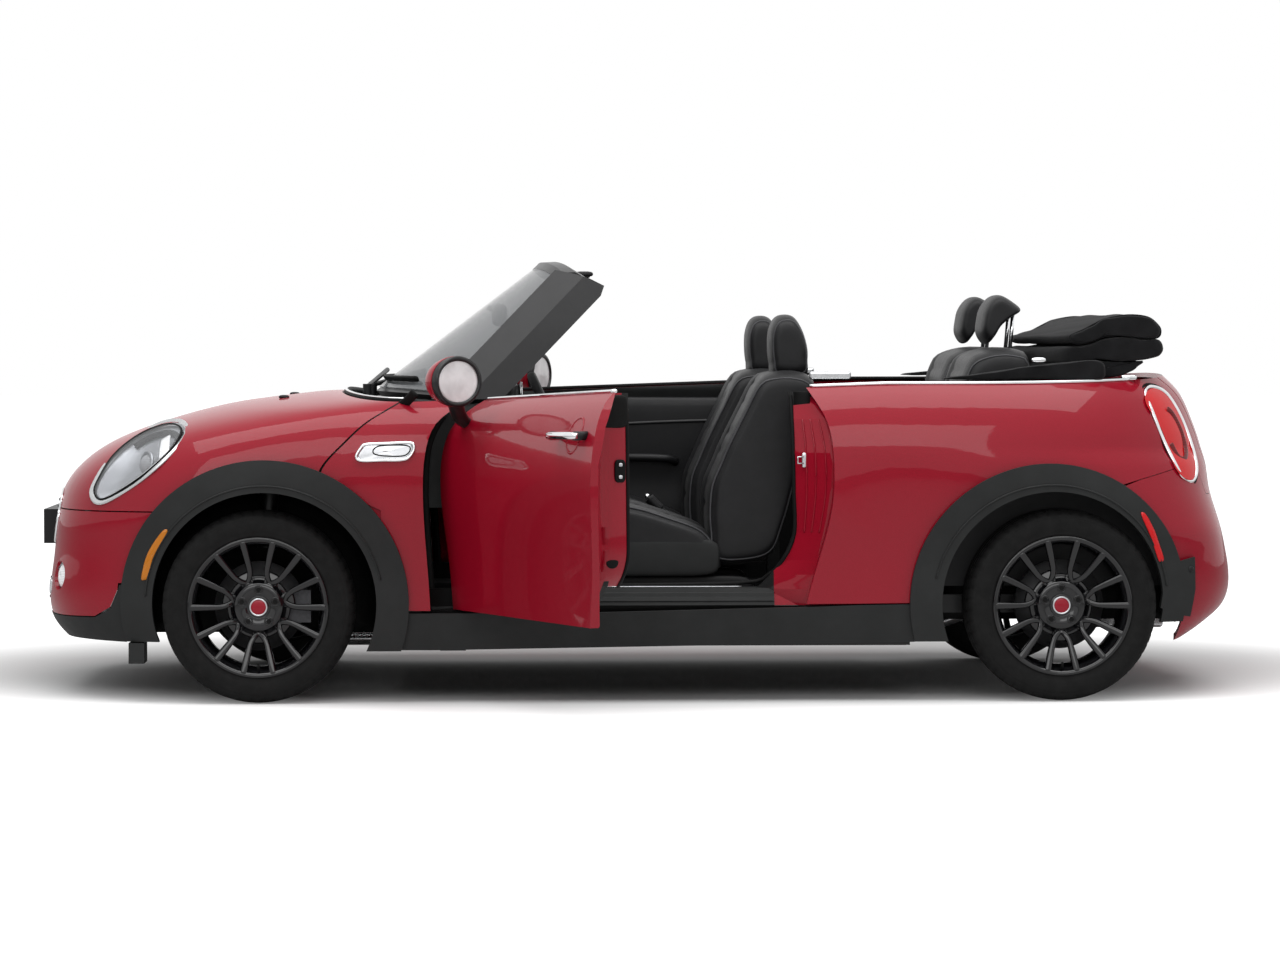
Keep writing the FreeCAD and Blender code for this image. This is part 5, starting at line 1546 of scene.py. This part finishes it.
@dataclass
class Studio:
    """Floor, soft light and camera."""

    eye: tuple[float, float, float] = (0.747, -12.86, 1.14)
    yaw_deg: float = 2.06
    pitch_deg: float = -2.13
    lens_mm: float = 109.55
    floor_size: float = 120.0
    paper: float = 0.80
    room_strength: float = 0.42

    def build(self) -> None:
        """Make the floor, world, lamps and camera."""
        self.floor()
        self.world()
        self.lamps()
        self.camera()
        bpy.context.scene.view_settings.view_transform = "Standard"
        LOG.info("studio ready")

    def floor(self) -> None:
        """Pale floor that keeps the car's shadow; round the car its white glow is left out, a painted shadow.
        """
        half = self.floor_size / 2.0
        mesh = bpy.data.meshes.new("floor")
        mesh.from_pydata([(-half, -half, 0), (half, -half, 0), (half, half, 0), (-half, half, 0)], [],
                         [(0, 1, 2, 3)])
        graph = Graph("floor_paper")
        graph.set(Base_Color=(self.paper, self.paper, self.paper, 1.0), Roughness=1.0, Specular_IOR_Level=0.0)
        path = graph.add("ShaderNodeLightPath")
        # Painted shadow: the floor glows white to the camera except in an ellipse round the car, set towards
        # its far side and fading out between 0.85 and 1.6 of its size. Inside it the floor is dark partly
        # from the lamps' real shadow and partly from the missing glow.
        painted_shadow_offset = graph.add("ShaderNodeVectorMath", operation="MULTIPLY_ADD")
        painted_shadow_offset.inputs[1].default_value = (0.45, 0.71, 0.0)
        painted_shadow_offset.inputs[2].default_value = (-0.54, -0.36, 0.0)
        graph.link(graph.coordinates, painted_shadow_offset.inputs[0])
        away = graph.add("ShaderNodeVectorMath", operation="LENGTH")
        graph.link(painted_shadow_offset.outputs[0], away.inputs[0])
        reach = graph.add("ShaderNodeMapRange", interpolation_type="SMOOTHSTEP")
        for key, value in (("From Min", 0.85), ("From Max", 1.60), ("To Min", 0.0), ("To Max", 0.95)):
            reach.inputs[key].default_value = value
        graph.link(away.outputs["Value"], reach.inputs["Value"])
        seen = graph.add("ShaderNodeMath", operation="MULTIPLY")
        graph.link(reach.outputs["Result"], seen.inputs[0])
        graph.link(path.outputs["Is Camera Ray"], seen.inputs[1])
        graph.set(Emission_Color=(1.0, 1.0, 1.0, 1.0))
        graph.link(seen.outputs[0], graph.shader.inputs["Emission Strength"])
        mesh.materials.append(graph.material)
        floor = bpy.data.objects.new("floor", mesh)
        bpy.context.scene.collection.objects.link(floor)

    def world(self) -> None:
        """White backdrop for the camera; a soft grey room for everything else."""
        world = bpy.data.worlds.new("studio_world")
        bpy.context.scene.world = world
        world.use_nodes = True
        tree = world.node_tree
        tree.nodes.clear()
        out = tree.nodes.new("ShaderNodeOutputWorld")
        path = tree.nodes.new("ShaderNodeLightPath")
        white = tree.nodes.new("ShaderNodeBackground")
        white.inputs["Color"].default_value = (1.0, 1.0, 1.0, 1.0)
        white.inputs["Strength"].default_value = 1.0
        room = tree.nodes.new("ShaderNodeBackground")
        room.inputs["Strength"].default_value = self.room_strength
        seen = path.outputs["Is Camera Ray"]
        for kind in ("Is Glossy Ray", "Is Transmission Ray"):
            either = tree.nodes.new("ShaderNodeMath")
            either.operation = "MAXIMUM"
            tree.links.new(seen, either.inputs[0])
            tree.links.new(path.outputs[kind], either.inputs[1])
            seen = either.outputs[0]
        mix = tree.nodes.new("ShaderNodeMixShader")
        tree.links.new(seen, mix.inputs["Fac"])
        tree.links.new(room.outputs[0], mix.inputs[1])
        tree.links.new(white.outputs[0], mix.inputs[2])
        tree.links.new(mix.outputs[0], out.inputs["Surface"])

    def lamp(self, name: str, place: Sequence[float], target: Sequence[float], size: tuple[float, float],
             power: float) -> None:
        """Add one soft rectangular lamp.

        Args:
            name: Name of the lamp.
            place: Where it hangs.
            target: Point that it faces.
            size: Its width and height.
            power: Its power in watts.
        """
        data = bpy.data.lights.new(name, "AREA")
        data.shape = "RECTANGLE"
        data.size, data.size_y = size
        data.energy = power
        lamp = bpy.data.objects.new(name, data)
        lamp.location = place
        aim = Vector(target) - Vector(place)
        lamp.rotation_euler = aim.to_track_quat("-Z", "Y").to_euler()
        bpy.context.scene.collection.objects.link(lamp)

    def lamps(self) -> None:
        """Large overhead box and a weak front fill."""
        self.lamp("overhead", (1.2, -1.6, 5.0), (1.2, 0.0, 0.0), (7.5, 3.2), 240.0)
        self.lamp("front_fill", (0.2, -8.0, 4.4), (1.2, 0.0, 0.6), (8.0, 3.0), 170.0)

    def camera(self) -> None:
        """Camera at the photograph's place, with no shift."""
        data = bpy.data.cameras.new("camera")
        data.sensor_width = 36.0
        data.lens = self.lens_mm
        camera = bpy.data.objects.new("camera", data)
        camera.location = self.eye
        yaw, pitch = math.radians(self.yaw_deg), math.radians(self.pitch_deg)
        aim = Vector((math.sin(yaw) * math.cos(pitch), math.cos(yaw) * math.cos(pitch), math.sin(pitch)))
        camera.rotation_euler = aim.to_track_quat("-Z", "Y").to_euler()
        bpy.context.scene.collection.objects.link(camera)
        bpy.context.scene.camera = camera


@dataclass
class Pad:
    """Padded form made from a side outline carried across the car.

    Across the car the outline shrinks towards its middle by a superellipse, so that the ends are rounded.
    Channels across and along it sink by a bell curve, and bolsters lift its outer parts.
    """

    name: str
    outline: Sequence[tuple[float, float]]
    y: float
    half: float
    finish: Finish = Finish.LEATHER
    body: str = "chassis"
    power: float = 5.0
    fill: float = 0.7
    around: int = 96
    across: int = 61
    bolster: float = 0.0
    seams: tuple[float, ...] = ()
    flutes: int = 0
    depth: float = 0.005
    face: tuple[float, float] = (0.0, 0.0)
    waves: float = 0.0
    end_round: float = 0.06
    bow: float = 0.0

    def grid(self) -> Array:
        """Points of the pad, across by around by 3."""
        edge = smooth_path([(x, 0.0, z) for x, z in self.outline], self.around, closed=True)
        middle = edge.mean(axis=0)
        tangent = unit(np.roll(edge, -1, axis=0) - np.roll(edge, 1, axis=0))
        normal = points_of(tangent[:, 2], 0.0, -tangent[:, 0])
        if np.sum((edge - middle) * normal) < 0.0:
            normal = -normal
        share = np.linspace(-1.0, 1.0, self.across)
        bend = np.sin(share * math.pi / 2.0)
        place = np.sign(bend) * np.abs(bend) ** 0.75
        inset = self.end_round * (1.0 - (1.0 - np.abs(place) ** self.power) ** (1.0 / self.power))
        reach = np.linalg.norm(edge - middle, axis=1).mean()
        scale = 1.0 - inset / reach
        points = middle + (edge - middle)[None] * scale[:, None, None]
        front = np.clip(normal @ np.array([self.face[0], 0.0, self.face[1]]), 0.0, 1.0) ** 2
        lift = self.bolster * np.clip((np.abs(place) - 0.52) / 0.22, 0.0, 1.0) ** 2 * (np.abs(place) < 0.97)
        for seam in self.seams:
            lift = lift - self.depth * np.exp(-((np.abs(place) - seam) / 0.022) ** 2)
        height = lift[:, None] * front[None]
        if self.flutes:
            along = np.linspace(0.0, 1.0, self.around, endpoint=False)
            groove = np.exp(-(np.minimum((along * self.flutes) % 1.0,
                                         1.0 - (along * self.flutes) % 1.0) / 0.07) ** 2)
            inner = (np.abs(place) < (self.seams[0] if self.seams else 0.9)).astype(float)
            height = height - self.depth * groove[None] * inner[:, None] * front[None]
        if self.waves:
            along = round_turn(self.around)
            height = height + self.waves * (np.sin(along * 5.0)[None] * np.cos(place * 7.0)[:, None]
                                            + 0.6 * np.sin(along * 9.0 + 1.0)[None] * np.cos(place * 13.0
                                                                                             + 0.7)[:, None])
        points = points + normal[None] * height[..., None]
        ahead = np.clip((middle[0] - edge[:, 0]) / (middle[0] - edge[:, 0].min()), 0.0, 1.0)
        points[..., 0] += self.bow * place[:, None] ** 2 * ahead[None, :]
        points[..., 1] = self.y + self.half * place[:, None]
        return points

    def build(self) -> bpy.types.Object:
        grid = self.grid()
        rows, columns = grid.shape[:2]
        faces = grid_faces(rows, columns, False, True).tolist()
        caps = []
        for row, turn in ((0, 1), (rows - 1, -1)):
            middle = grid[row].mean(axis=0)
            rings = [middle + (grid[row] - middle) * share for share in (0.66, 0.33)]
            base = rows * columns + len(caps) * columns
            previous = row * columns
            for ring in rings:
                caps.append(ring)
                for k in range(columns):
                    over = (k + 1) % columns
                    faces.append([previous + k, previous + over, base + over, base + k])
                previous = base
                base += columns
            faces.append([previous + k for k in range(columns)][::turn])
        points = np.vstack([grid.reshape(-1, 3)] + caps)
        piece = facing_out(make_piece(self.name, points, faces, self.finish, self.body))
        return piece

    def piping(self, share: float, radius: float = 0.0028, span: tuple[float, float] = (0.0, 1.0)) -> None:
        """Grey piping along the pad at one share of its half width, on both sides."""
        grid = self.grid()
        widths = (grid[:, 0, 1] - self.y) / self.half
        parts = []
        for sign in (-1.0, 1.0):
            row = int(np.argmin(np.abs(widths - sign * share)))
            first, last = int(span[0] * self.around), int(span[1] * self.around)
            path = np.array([grid[row, k % self.around] for k in range(first, last)])
            closed = span == (0.0, 1.0)
            parts.append(swept(path, round_profile(2.0 * radius, 2.0 * radius, 8), Y_AXIS, closed))
        put(f"{self.name}_piping", parts, Finish.PIPING, self.body)


@dataclass
class FrontSeat:
    """One front seat: cushion, back and headrest with bolsters, channels and piping."""

    word: str
    y: float
    shift: float

    def moved(self, outline: Sequence[tuple[float, float]]) -> list[tuple[float, float]]:
        """Outline in metres, shifted along the car."""
        return [((x + self.shift) * MM, z * MM) for x, z in outline]

    def build(self) -> list[bpy.types.Object]:
        """Make the seat's pads and return them."""
        cushion = Pad(f"seat_cushion_{self.word}",
                      self.moved([(1022, 452), (1014, 520), (1026, 574), (1070, 604), (1170, 596),
                                  (1290, 560), (1400, 518), (1444, 462), (1436, 396), (1260, 388),
                                  (1090, 392)]), self.y, 0.252, bolster=0.012, seams=(0.60,), flutes=22,
                      face=(-0.2, 1.0))
        back = Pad(f"seat_back_{self.word}",
                   self.moved([(1424, 420), (1412, 500), (1408, 570), (1416, 660), (1446, 735), (1476, 805),
                               (1526, 905), (1577, 1002), (1622, 1026), (1692, 1026), (1740, 1000),
                               (1738, 930), (1722, 850), (1706, 785), (1674, 650), (1640, 530), (1598, 436),
                               (1500, 410)]), self.y, 0.248, bolster=0.012, seams=(0.60,), flutes=26,
                   face=(-1.0, 0.1))
        head = Pad(f"headrest_{self.word}",
                   self.moved([(1626, 1006), (1612, 1050), (1607, 1100), (1609, 1150), (1622, 1188),
                               (1646, 1205), (1684, 1200), (1712, 1160), (1729, 1105), (1731, 1060),
                               (1722, 1006)]), self.y, 0.133, power=3.0, end_round=0.045, around=72,
                   across=41)
        made = [pad.build() for pad in (cushion, back, head)]
        cushion.piping(0.965)
        back.piping(0.965)
        head.piping(0.90)
        post_x = (1668 + self.shift) * MM
        headrest_posts(f"headrest_posts_{self.word}", self.y, 0.060, (post_x, 1.010), (post_x, 1.075), 0.014)
        rails = [block(((1310 + self.shift) * MM, self.y + dy, 0.287), (0.48, 0.030, 0.19), 8.0)
                 for dy in (-0.2, 0.2)]
        put(f"seat_rails_{self.word}", rails, Finish.BLACK, "chassis")
        panels = [block(((1240 + self.shift) * MM, self.y + dy, 0.440), (0.40, 0.020, 0.120), 5.0)
                  for dy in (-0.243, 0.243)]
        put(f"seat_side_covers_{self.word}", panels, Finish.GRAINED, "chassis")
        return made


@dataclass
class RearSeat:
    """Rear bench: two cushions, two backs and two comma-shaped headrests."""

    def build(self) -> list[bpy.types.Object]:
        """Make the bench's pads and return them."""
        made = []
        for word, y in (("left", -0.300), ("right", 0.300)):
            cushion = Pad(f"rear_cushion_{word}",
                          past_axle([(-532, 460), (-534, 520), (-510, 553), (-440, 558), (-330, 548),
                                     (-240, 530), (-238, 450), (-380, 438), (-500, 438)]), y, 0.277,
                          bolster=0.006, seams=(0.62,), flutes=18, face=(0.0, 1.0))
            back = Pad(f"rear_back_{word}",
                       past_axle([(-298, 560), (-296, 680), (-290, 830), (-280, 975), (-262, 1040),
                                  (-238, 1076), (-180, 1098), (-110, 1098), (-66, 1066), (-62, 900),
                                  (-62, 620), (-66, 470), (-160, 462), (-262, 468)]), y, 0.277, bolster=0.008,
                       seams=(0.62,), flutes=24, face=(-1.0, 0.2))
            head = Pad(f"rear_headrest_{word}",
                       past_axle([(-204, 1146), (-200, 1195), (-190, 1230), (-166, 1261), (-138, 1269),
                                  (-100, 1249), (-72, 1221), (-104, 1197), (-138, 1168), (-162, 1130),
                                  (-183, 1112)]), y, 0.124, power=3.2, end_round=0.030, around=72, across=41)
            made += [pad.build() for pad in (cushion, back, head)]
            cushion.piping(0.965)
            back.piping(0.965)
            headrest_posts(f"rear_headrest_posts_{word}", y, 0.055, (AXLE - 0.107, 1.085),
                           (AXLE - 0.096, 1.212), 0.013)
        put("rear_seat_base", [block((AXLE - 0.2565, 0.0, 0.393), (0.395, 0.965, 0.09), 12.0)], Finish.CARPET,
            "chassis")
        return made


@dataclass
class FoldedRoof:
    """Soft top folded behind the seats: three layers of padded cloth with lobes at the rear."""

    def build(self) -> list[bpy.types.Object]:
        """Make the layers and return them."""
        layers = (("roof_top_layer",
                   ((-45, 1134), (-10, 1145), (40, 1157), (120, 1180), (195, 1199), (254, 1206), (312, 1198),
                    (345, 1172), (354, 1152), (344, 1132), (300, 1130), (200, 1140), (100, 1122), (20, 1112),
                    (-30, 1116)), 0.598),
                  ("roof_middle_layer",
                   ((-52, 1098), (40, 1104), (140, 1122), (220, 1136), (300, 1128), (345, 1126), (360, 1104),
                    (358, 1084), (338, 1068), (270, 1058), (140, 1062), (20, 1056), (-48, 1052)), 0.596),
                  ("roof_lower_layer",
                   ((-50, 1050), (60, 1056), (180, 1058), (268, 1054), (300, 1058), (284, 1044), (262, 1024),
                    (200, 1006), (80, 1004), (-48, 1004)), 0.590))
        made = []
        for name, outline, half in layers:
            pad = Pad(name, past_axle(outline), 0.0, half, Finish.SOFT_TOP, power=6.0,
                      fill=0.35, around=120, across=81, waves=0.0016, end_round=0.022, bow=0.09)
            made.append(pad.build())
        for word, sign in (("left", -1.0), ("right", 1.0)):
            outline = ((-356, 1003), (-270, 1014), (-180, 1027), (-88, 1040), (20, 1052), (110, 1060),
                       (148, 1054), (156, 1030), (146, 1003), (60, 1002), (-180, 1002))
            pad = Pad(f"roof_cheek_{word}", past_axle(outline), sign * 0.635, 0.043, Finish.SOFT_TOP,
                      power=4.0, fill=0.35, around=110, across=25, waves=0.0012, end_round=0.014)
            made.append(pad.build())
        binding = Pad("binding", past_axle(layers[0][1]), 0.0, 0.598, Finish.SOFT_TOP,
                      power=6.0, around=120, across=81, end_round=0.022, bow=0.09)
        grid = binding.grid()
        parts = [swept(grid[row], round_profile(0.007, 0.007, 8), Y_AXIS, True) for row in (6, 74)]
        put("roof_seams", parts, Finish.SOFT_TOP, "chassis")
        for side in Side:
            latch = block((AXLE - 0.058, side.value * 0.684, 1.062), (0.046, 0.016, 0.016), 3.0)
            put(f"roof_latch_{side.word}", [latch], Finish.CHROME, "chassis")
        return made


@dataclass
class Cabin:
    """Dashboard parts, steering wheel, console parts and the screen's mirror and wipers."""

    wheel_centre: tuple[float, float, float] = (0.922, -0.370, 0.845)
    wheel_r: float = 0.180
    wheel_lean_deg: float = -24.0

    def build(self) -> None:
        """Make the cabin's pieces."""
        self.steering_wheel()
        self.dash()
        self.console()
        self.screen_parts()
        LOG.info("cabin ready")

    def wheel_place(self, points: Array) -> Array:
        """Points of the upright wheel, leaned back about Y and placed."""
        lean = math.radians(self.wheel_lean_deg)
        x, y, z = points[..., 0], points[..., 1], points[..., 2]
        moved = points_of(x * math.cos(lean) + z * math.sin(lean), y, z * math.cos(lean) - x * math.sin(lean))
        return moved + np.array(self.wheel_centre)

    def steering_wheel(self) -> None:
        """Leather rim with thumb grips, three spokes with bright inlays and a round centre pad."""
        turn = round_turn(120)
        rim = points_of(0.0, self.wheel_r * np.cos(turn), self.wheel_r * np.sin(turn))
        grip = 1.0 + 0.16 * np.exp(-((np.abs((turn % math.pi) - math.radians(32.0))) / 0.16) ** 2)
        ring = swept(self.wheel_place(rim), round_profile(0.027, 0.030, 16), (1.0, 0.0, 0.3), True, grip)
        wheel = put("steering_wheel_rim", [ring], Finish.LEATHER, "steering_wheel")
        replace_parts(wheel, "steering_wheel")
        spokes = []
        inlays = []
        for deg in (8.0, 172.0, 270.0):
            angle = math.radians(deg)
            aim = np.array([0.0, math.cos(angle), math.sin(angle)])
            path = np.array([aim * r + [x, 0.0, 0.0]
                             for r, x in ((0.035, -0.006), (0.09, 0.0), (0.14, 0.004), (0.178, 0.0))])
            spokes.append(swept(self.wheel_place(path), round_profile(0.012, 0.040, 16, 3.0), X_AXIS))
            inlay = path[1:] + [0.0075, 0.0, 0.0]
            inlays.append(swept(self.wheel_place(inlay), round_profile(0.006, 0.014, 12, 3.0), X_AXIS))
        put("steering_wheel_spokes", spokes, Finish.BLACK, "steering_wheel")
        put("steering_wheel_inlays", inlays, Finish.SILVER, "steering_wheel")
        radius = np.array([0.0, 0.03, 0.055, 0.066, 0.068, 0.060, 0.0])
        out = np.array([0.014, 0.013, 0.009, 0.0, -0.012, -0.026, -0.028])
        grid = points_of(out[None, :], radius[None, :] * np.cos(turn)[:, None],
                         radius[None, :] * np.sin(turn)[:, None])
        skinned("steering_wheel_pad", self.wheel_place(grid), Finish.GRAINED, "steering_wheel", (True, False))

    def dash(self) -> None:
        """Round central dial with a bright bezel, air outlets, trim strip and the driver's dials."""
        turn = round_turn(96)

        def ring(name: str, x: float, y: float, z: float, radius: float, width: float,
                 finish: Finish) -> None:
            loop = points_of(x, y + radius * np.cos(turn), z + radius * np.sin(turn))
            rod(name, loop, (width, width, 12), X_AXIS, finish, closed=True)

        def plate(name: str, x: float, y: float, z: float, radius: float, finish: Finish) -> None:
            share = np.linspace(0.0, 1.0, 6)[:, None]
            grid = points_of(x - 0.004 * share ** 2, y + radius * share * np.cos(turn),
                             z + radius * share * np.sin(turn))
            skinned(name, grid, finish, "chassis", (False, True), 0.003)

        ring("dial_bezel", 0.861, 0.0, 0.850, 0.098, 0.014, Finish.CHROME)
        plate("dial_face", 0.862, 0.0, 0.850, 0.092, Finish.BLACK_PAINT)
        for word, y in (("left_outer", -0.575), ("left_inner", -0.190), ("right_inner", 0.190),
                        ("right_outer", 0.575)):
            ring(f"vent_ring_{word}", 0.826, y, 0.800, 0.038, 0.010, Finish.CHROME)
            plate(f"vent_face_{word}", 0.822, y, 0.800, 0.036, Finish.BLACK)
        strip = smooth_path([(0.822, -0.635, 0.742), (0.824, -0.300, 0.742), (0.824, 0.300, 0.742),
                             (0.822, 0.635, 0.742)], 40)
        rod("dash_strip", strip, (0.020, 0.030, 14, 3.0), X_AXIS, Finish.BLACK_PAINT)
        for k, (y, radius) in enumerate(((-0.370, 0.062), (-0.290, 0.034))):
            ring(f"driver_dial_ring_{k}", 0.815, y, 0.925, radius, 0.009, Finish.CHROME)
            plate(f"driver_dial_face_{k}", 0.813, y, 0.925, radius - 0.003, Finish.BLACK_PAINT)
        cowl = [block((0.775, -0.360, 0.925), (0.075, 0.20, 0.135), 3.0)]
        put("driver_dial_housing", cowl, Finish.BLACK, "chassis")

    def console(self) -> None:
        """Toggle row, gear knob ring and the handbrake's grip with its pale button."""
        toggles = [block((0.866, y, 0.655), (0.022, 0.016, 0.034), 3.0) for y in np.linspace(-0.08, 0.08, 5)]
        put("console_toggles", toggles, Finish.CHROME, "chassis")
        grip = smooth_path([(1.275, -0.040, 0.567), (1.255, -0.040, 0.586), (1.238, -0.040, 0.603)], 16)
        rod("handbrake_grip", grip, (0.034, 0.034, 16), Y_AXIS, Finish.LEATHER)
        put("handbrake_button", [block((1.232, -0.040, 0.609), (0.018, 0.018, 0.018), 2.4)], Finish.CHROME,
            "chassis")
        turn = round_turn(60)
        loop = points_of(0.998 + 0.050 * np.cos(turn), 0.050 * np.sin(turn), 0.424)
        rod("gear_gaiter_ring", loop, (0.010, 0.010, 12), Z_AXIS, Finish.CHROME, closed=True)

    def screen_parts(self) -> None:
        """Inner mirror behind the glass, wiper blades and two latches on the header."""
        put("inner_mirror", [block((0.745, -0.010, 1.206), (0.050, 0.260, 0.074), 3.2)], Finish.BLACK,
            "chassis")
        # Its glass is painted near-white, a painted reflection.
        put("inner_mirror_glass", [block((0.7705, -0.010, 1.206), (0.003, 0.235, 0.060), 3.6)], Finish.MIRROR,
            "chassis")
        stem = smooth_path([(0.706, -0.010, 1.232), (0.720, -0.010, 1.226), (0.738, -0.010, 1.214)], 12)
        rod("inner_mirror_stem", stem, (0.018, 0.018, 12), Y_AXIS, Finish.BLACK)
        skin = Skin("windscreen_glass")
        blades = []
        for y0, y1 in ((-0.47, 0.10), (-0.02, 0.50)):
            y = np.linspace(y0, y1, 40)
            starts = points_of(-0.5, y, 0.994)
            line = skin.along(starts, X_AXIS, 0.010)
            blades.append(swept(line, round_profile(0.012, 0.020, 10, 3.0), (-0.6, 0.0, 0.8)))
        put("wiper_blades", blades, Finish.SEAL, "chassis")
        for side in Side:
            latch = block((1.020, side.value * 0.200, 1.338), (0.060, 0.040, 0.018), 3.0)
            put(f"header_latch_{side.word}", [latch], Finish.BLACK, "chassis")


HEADLAMP_OUTLINE = [(x * MM, z * MM) for x, z in (
    (-520, 640), (-514, 676), (-461, 766), (-375, 836), (-284, 868), (-233, 851), (-259, 789), (-352, 703),
    (-454, 637), (-500, 621))]
TAIL_LAMP_OUTLINE = past_axle([(289, 958), (318, 975), (372, 948), (426, 850), (454, 740), (438, 684),
                               (397, 692), (352, 775), (310, 880)])


def dress_nodes() -> None:
    """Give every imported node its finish."""
    for name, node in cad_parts.items():
        finish = NODE_FINISH.get(name)
        if finish is None:
            finish = Finish.TYRE if name.startswith("tyre") else Finish.ALLOY
        node.data.materials.clear()
        node.data.materials.append(finish.material())


def main() -> None:
    """Dress the car, then light and frame it."""
    logging.basicConfig(level=logging.INFO, format="%(message)s")
    dress_nodes()
    BodyTrim().build()
    bowls = []
    for side in Side:
        for end, x, inner in (("front", 0.0, 0.465), ("rear", AXLE, 0.585)):
            Wheel(end, side, x).build()
            WheelHouse(end, side, x, inner, low_deg=-16.0 if end == "front" else -9.0).build()
        bowls.append(Headlamp(side, "headlamps", "bonnet", HEADLAMP_OUTLINE, panels=("bonnet",)).build())
        TailLamp(side, "tail_lamps", "chassis", TAIL_LAMP_OUTLINE,
                 panels=("quarter_panels", "rear_bumper", "boot_lid")).build()
        Door(side).build()
        Mirror(side).build()
    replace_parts(bowls[0], "headlamps")
    seats = FrontSeat("left", -0.370, 0.0).build() + FrontSeat("right", 0.370, -28.0).build()
    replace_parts(seats[0], "front_seats")
    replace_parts(RearSeat().build()[0], "rear_seat")
    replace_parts(FoldedRoof().build()[0], "folded_roof")
    Cabin().build()
    Studio().build()
    LOG.info("size written")


if __name__ == "__main__":
    main()
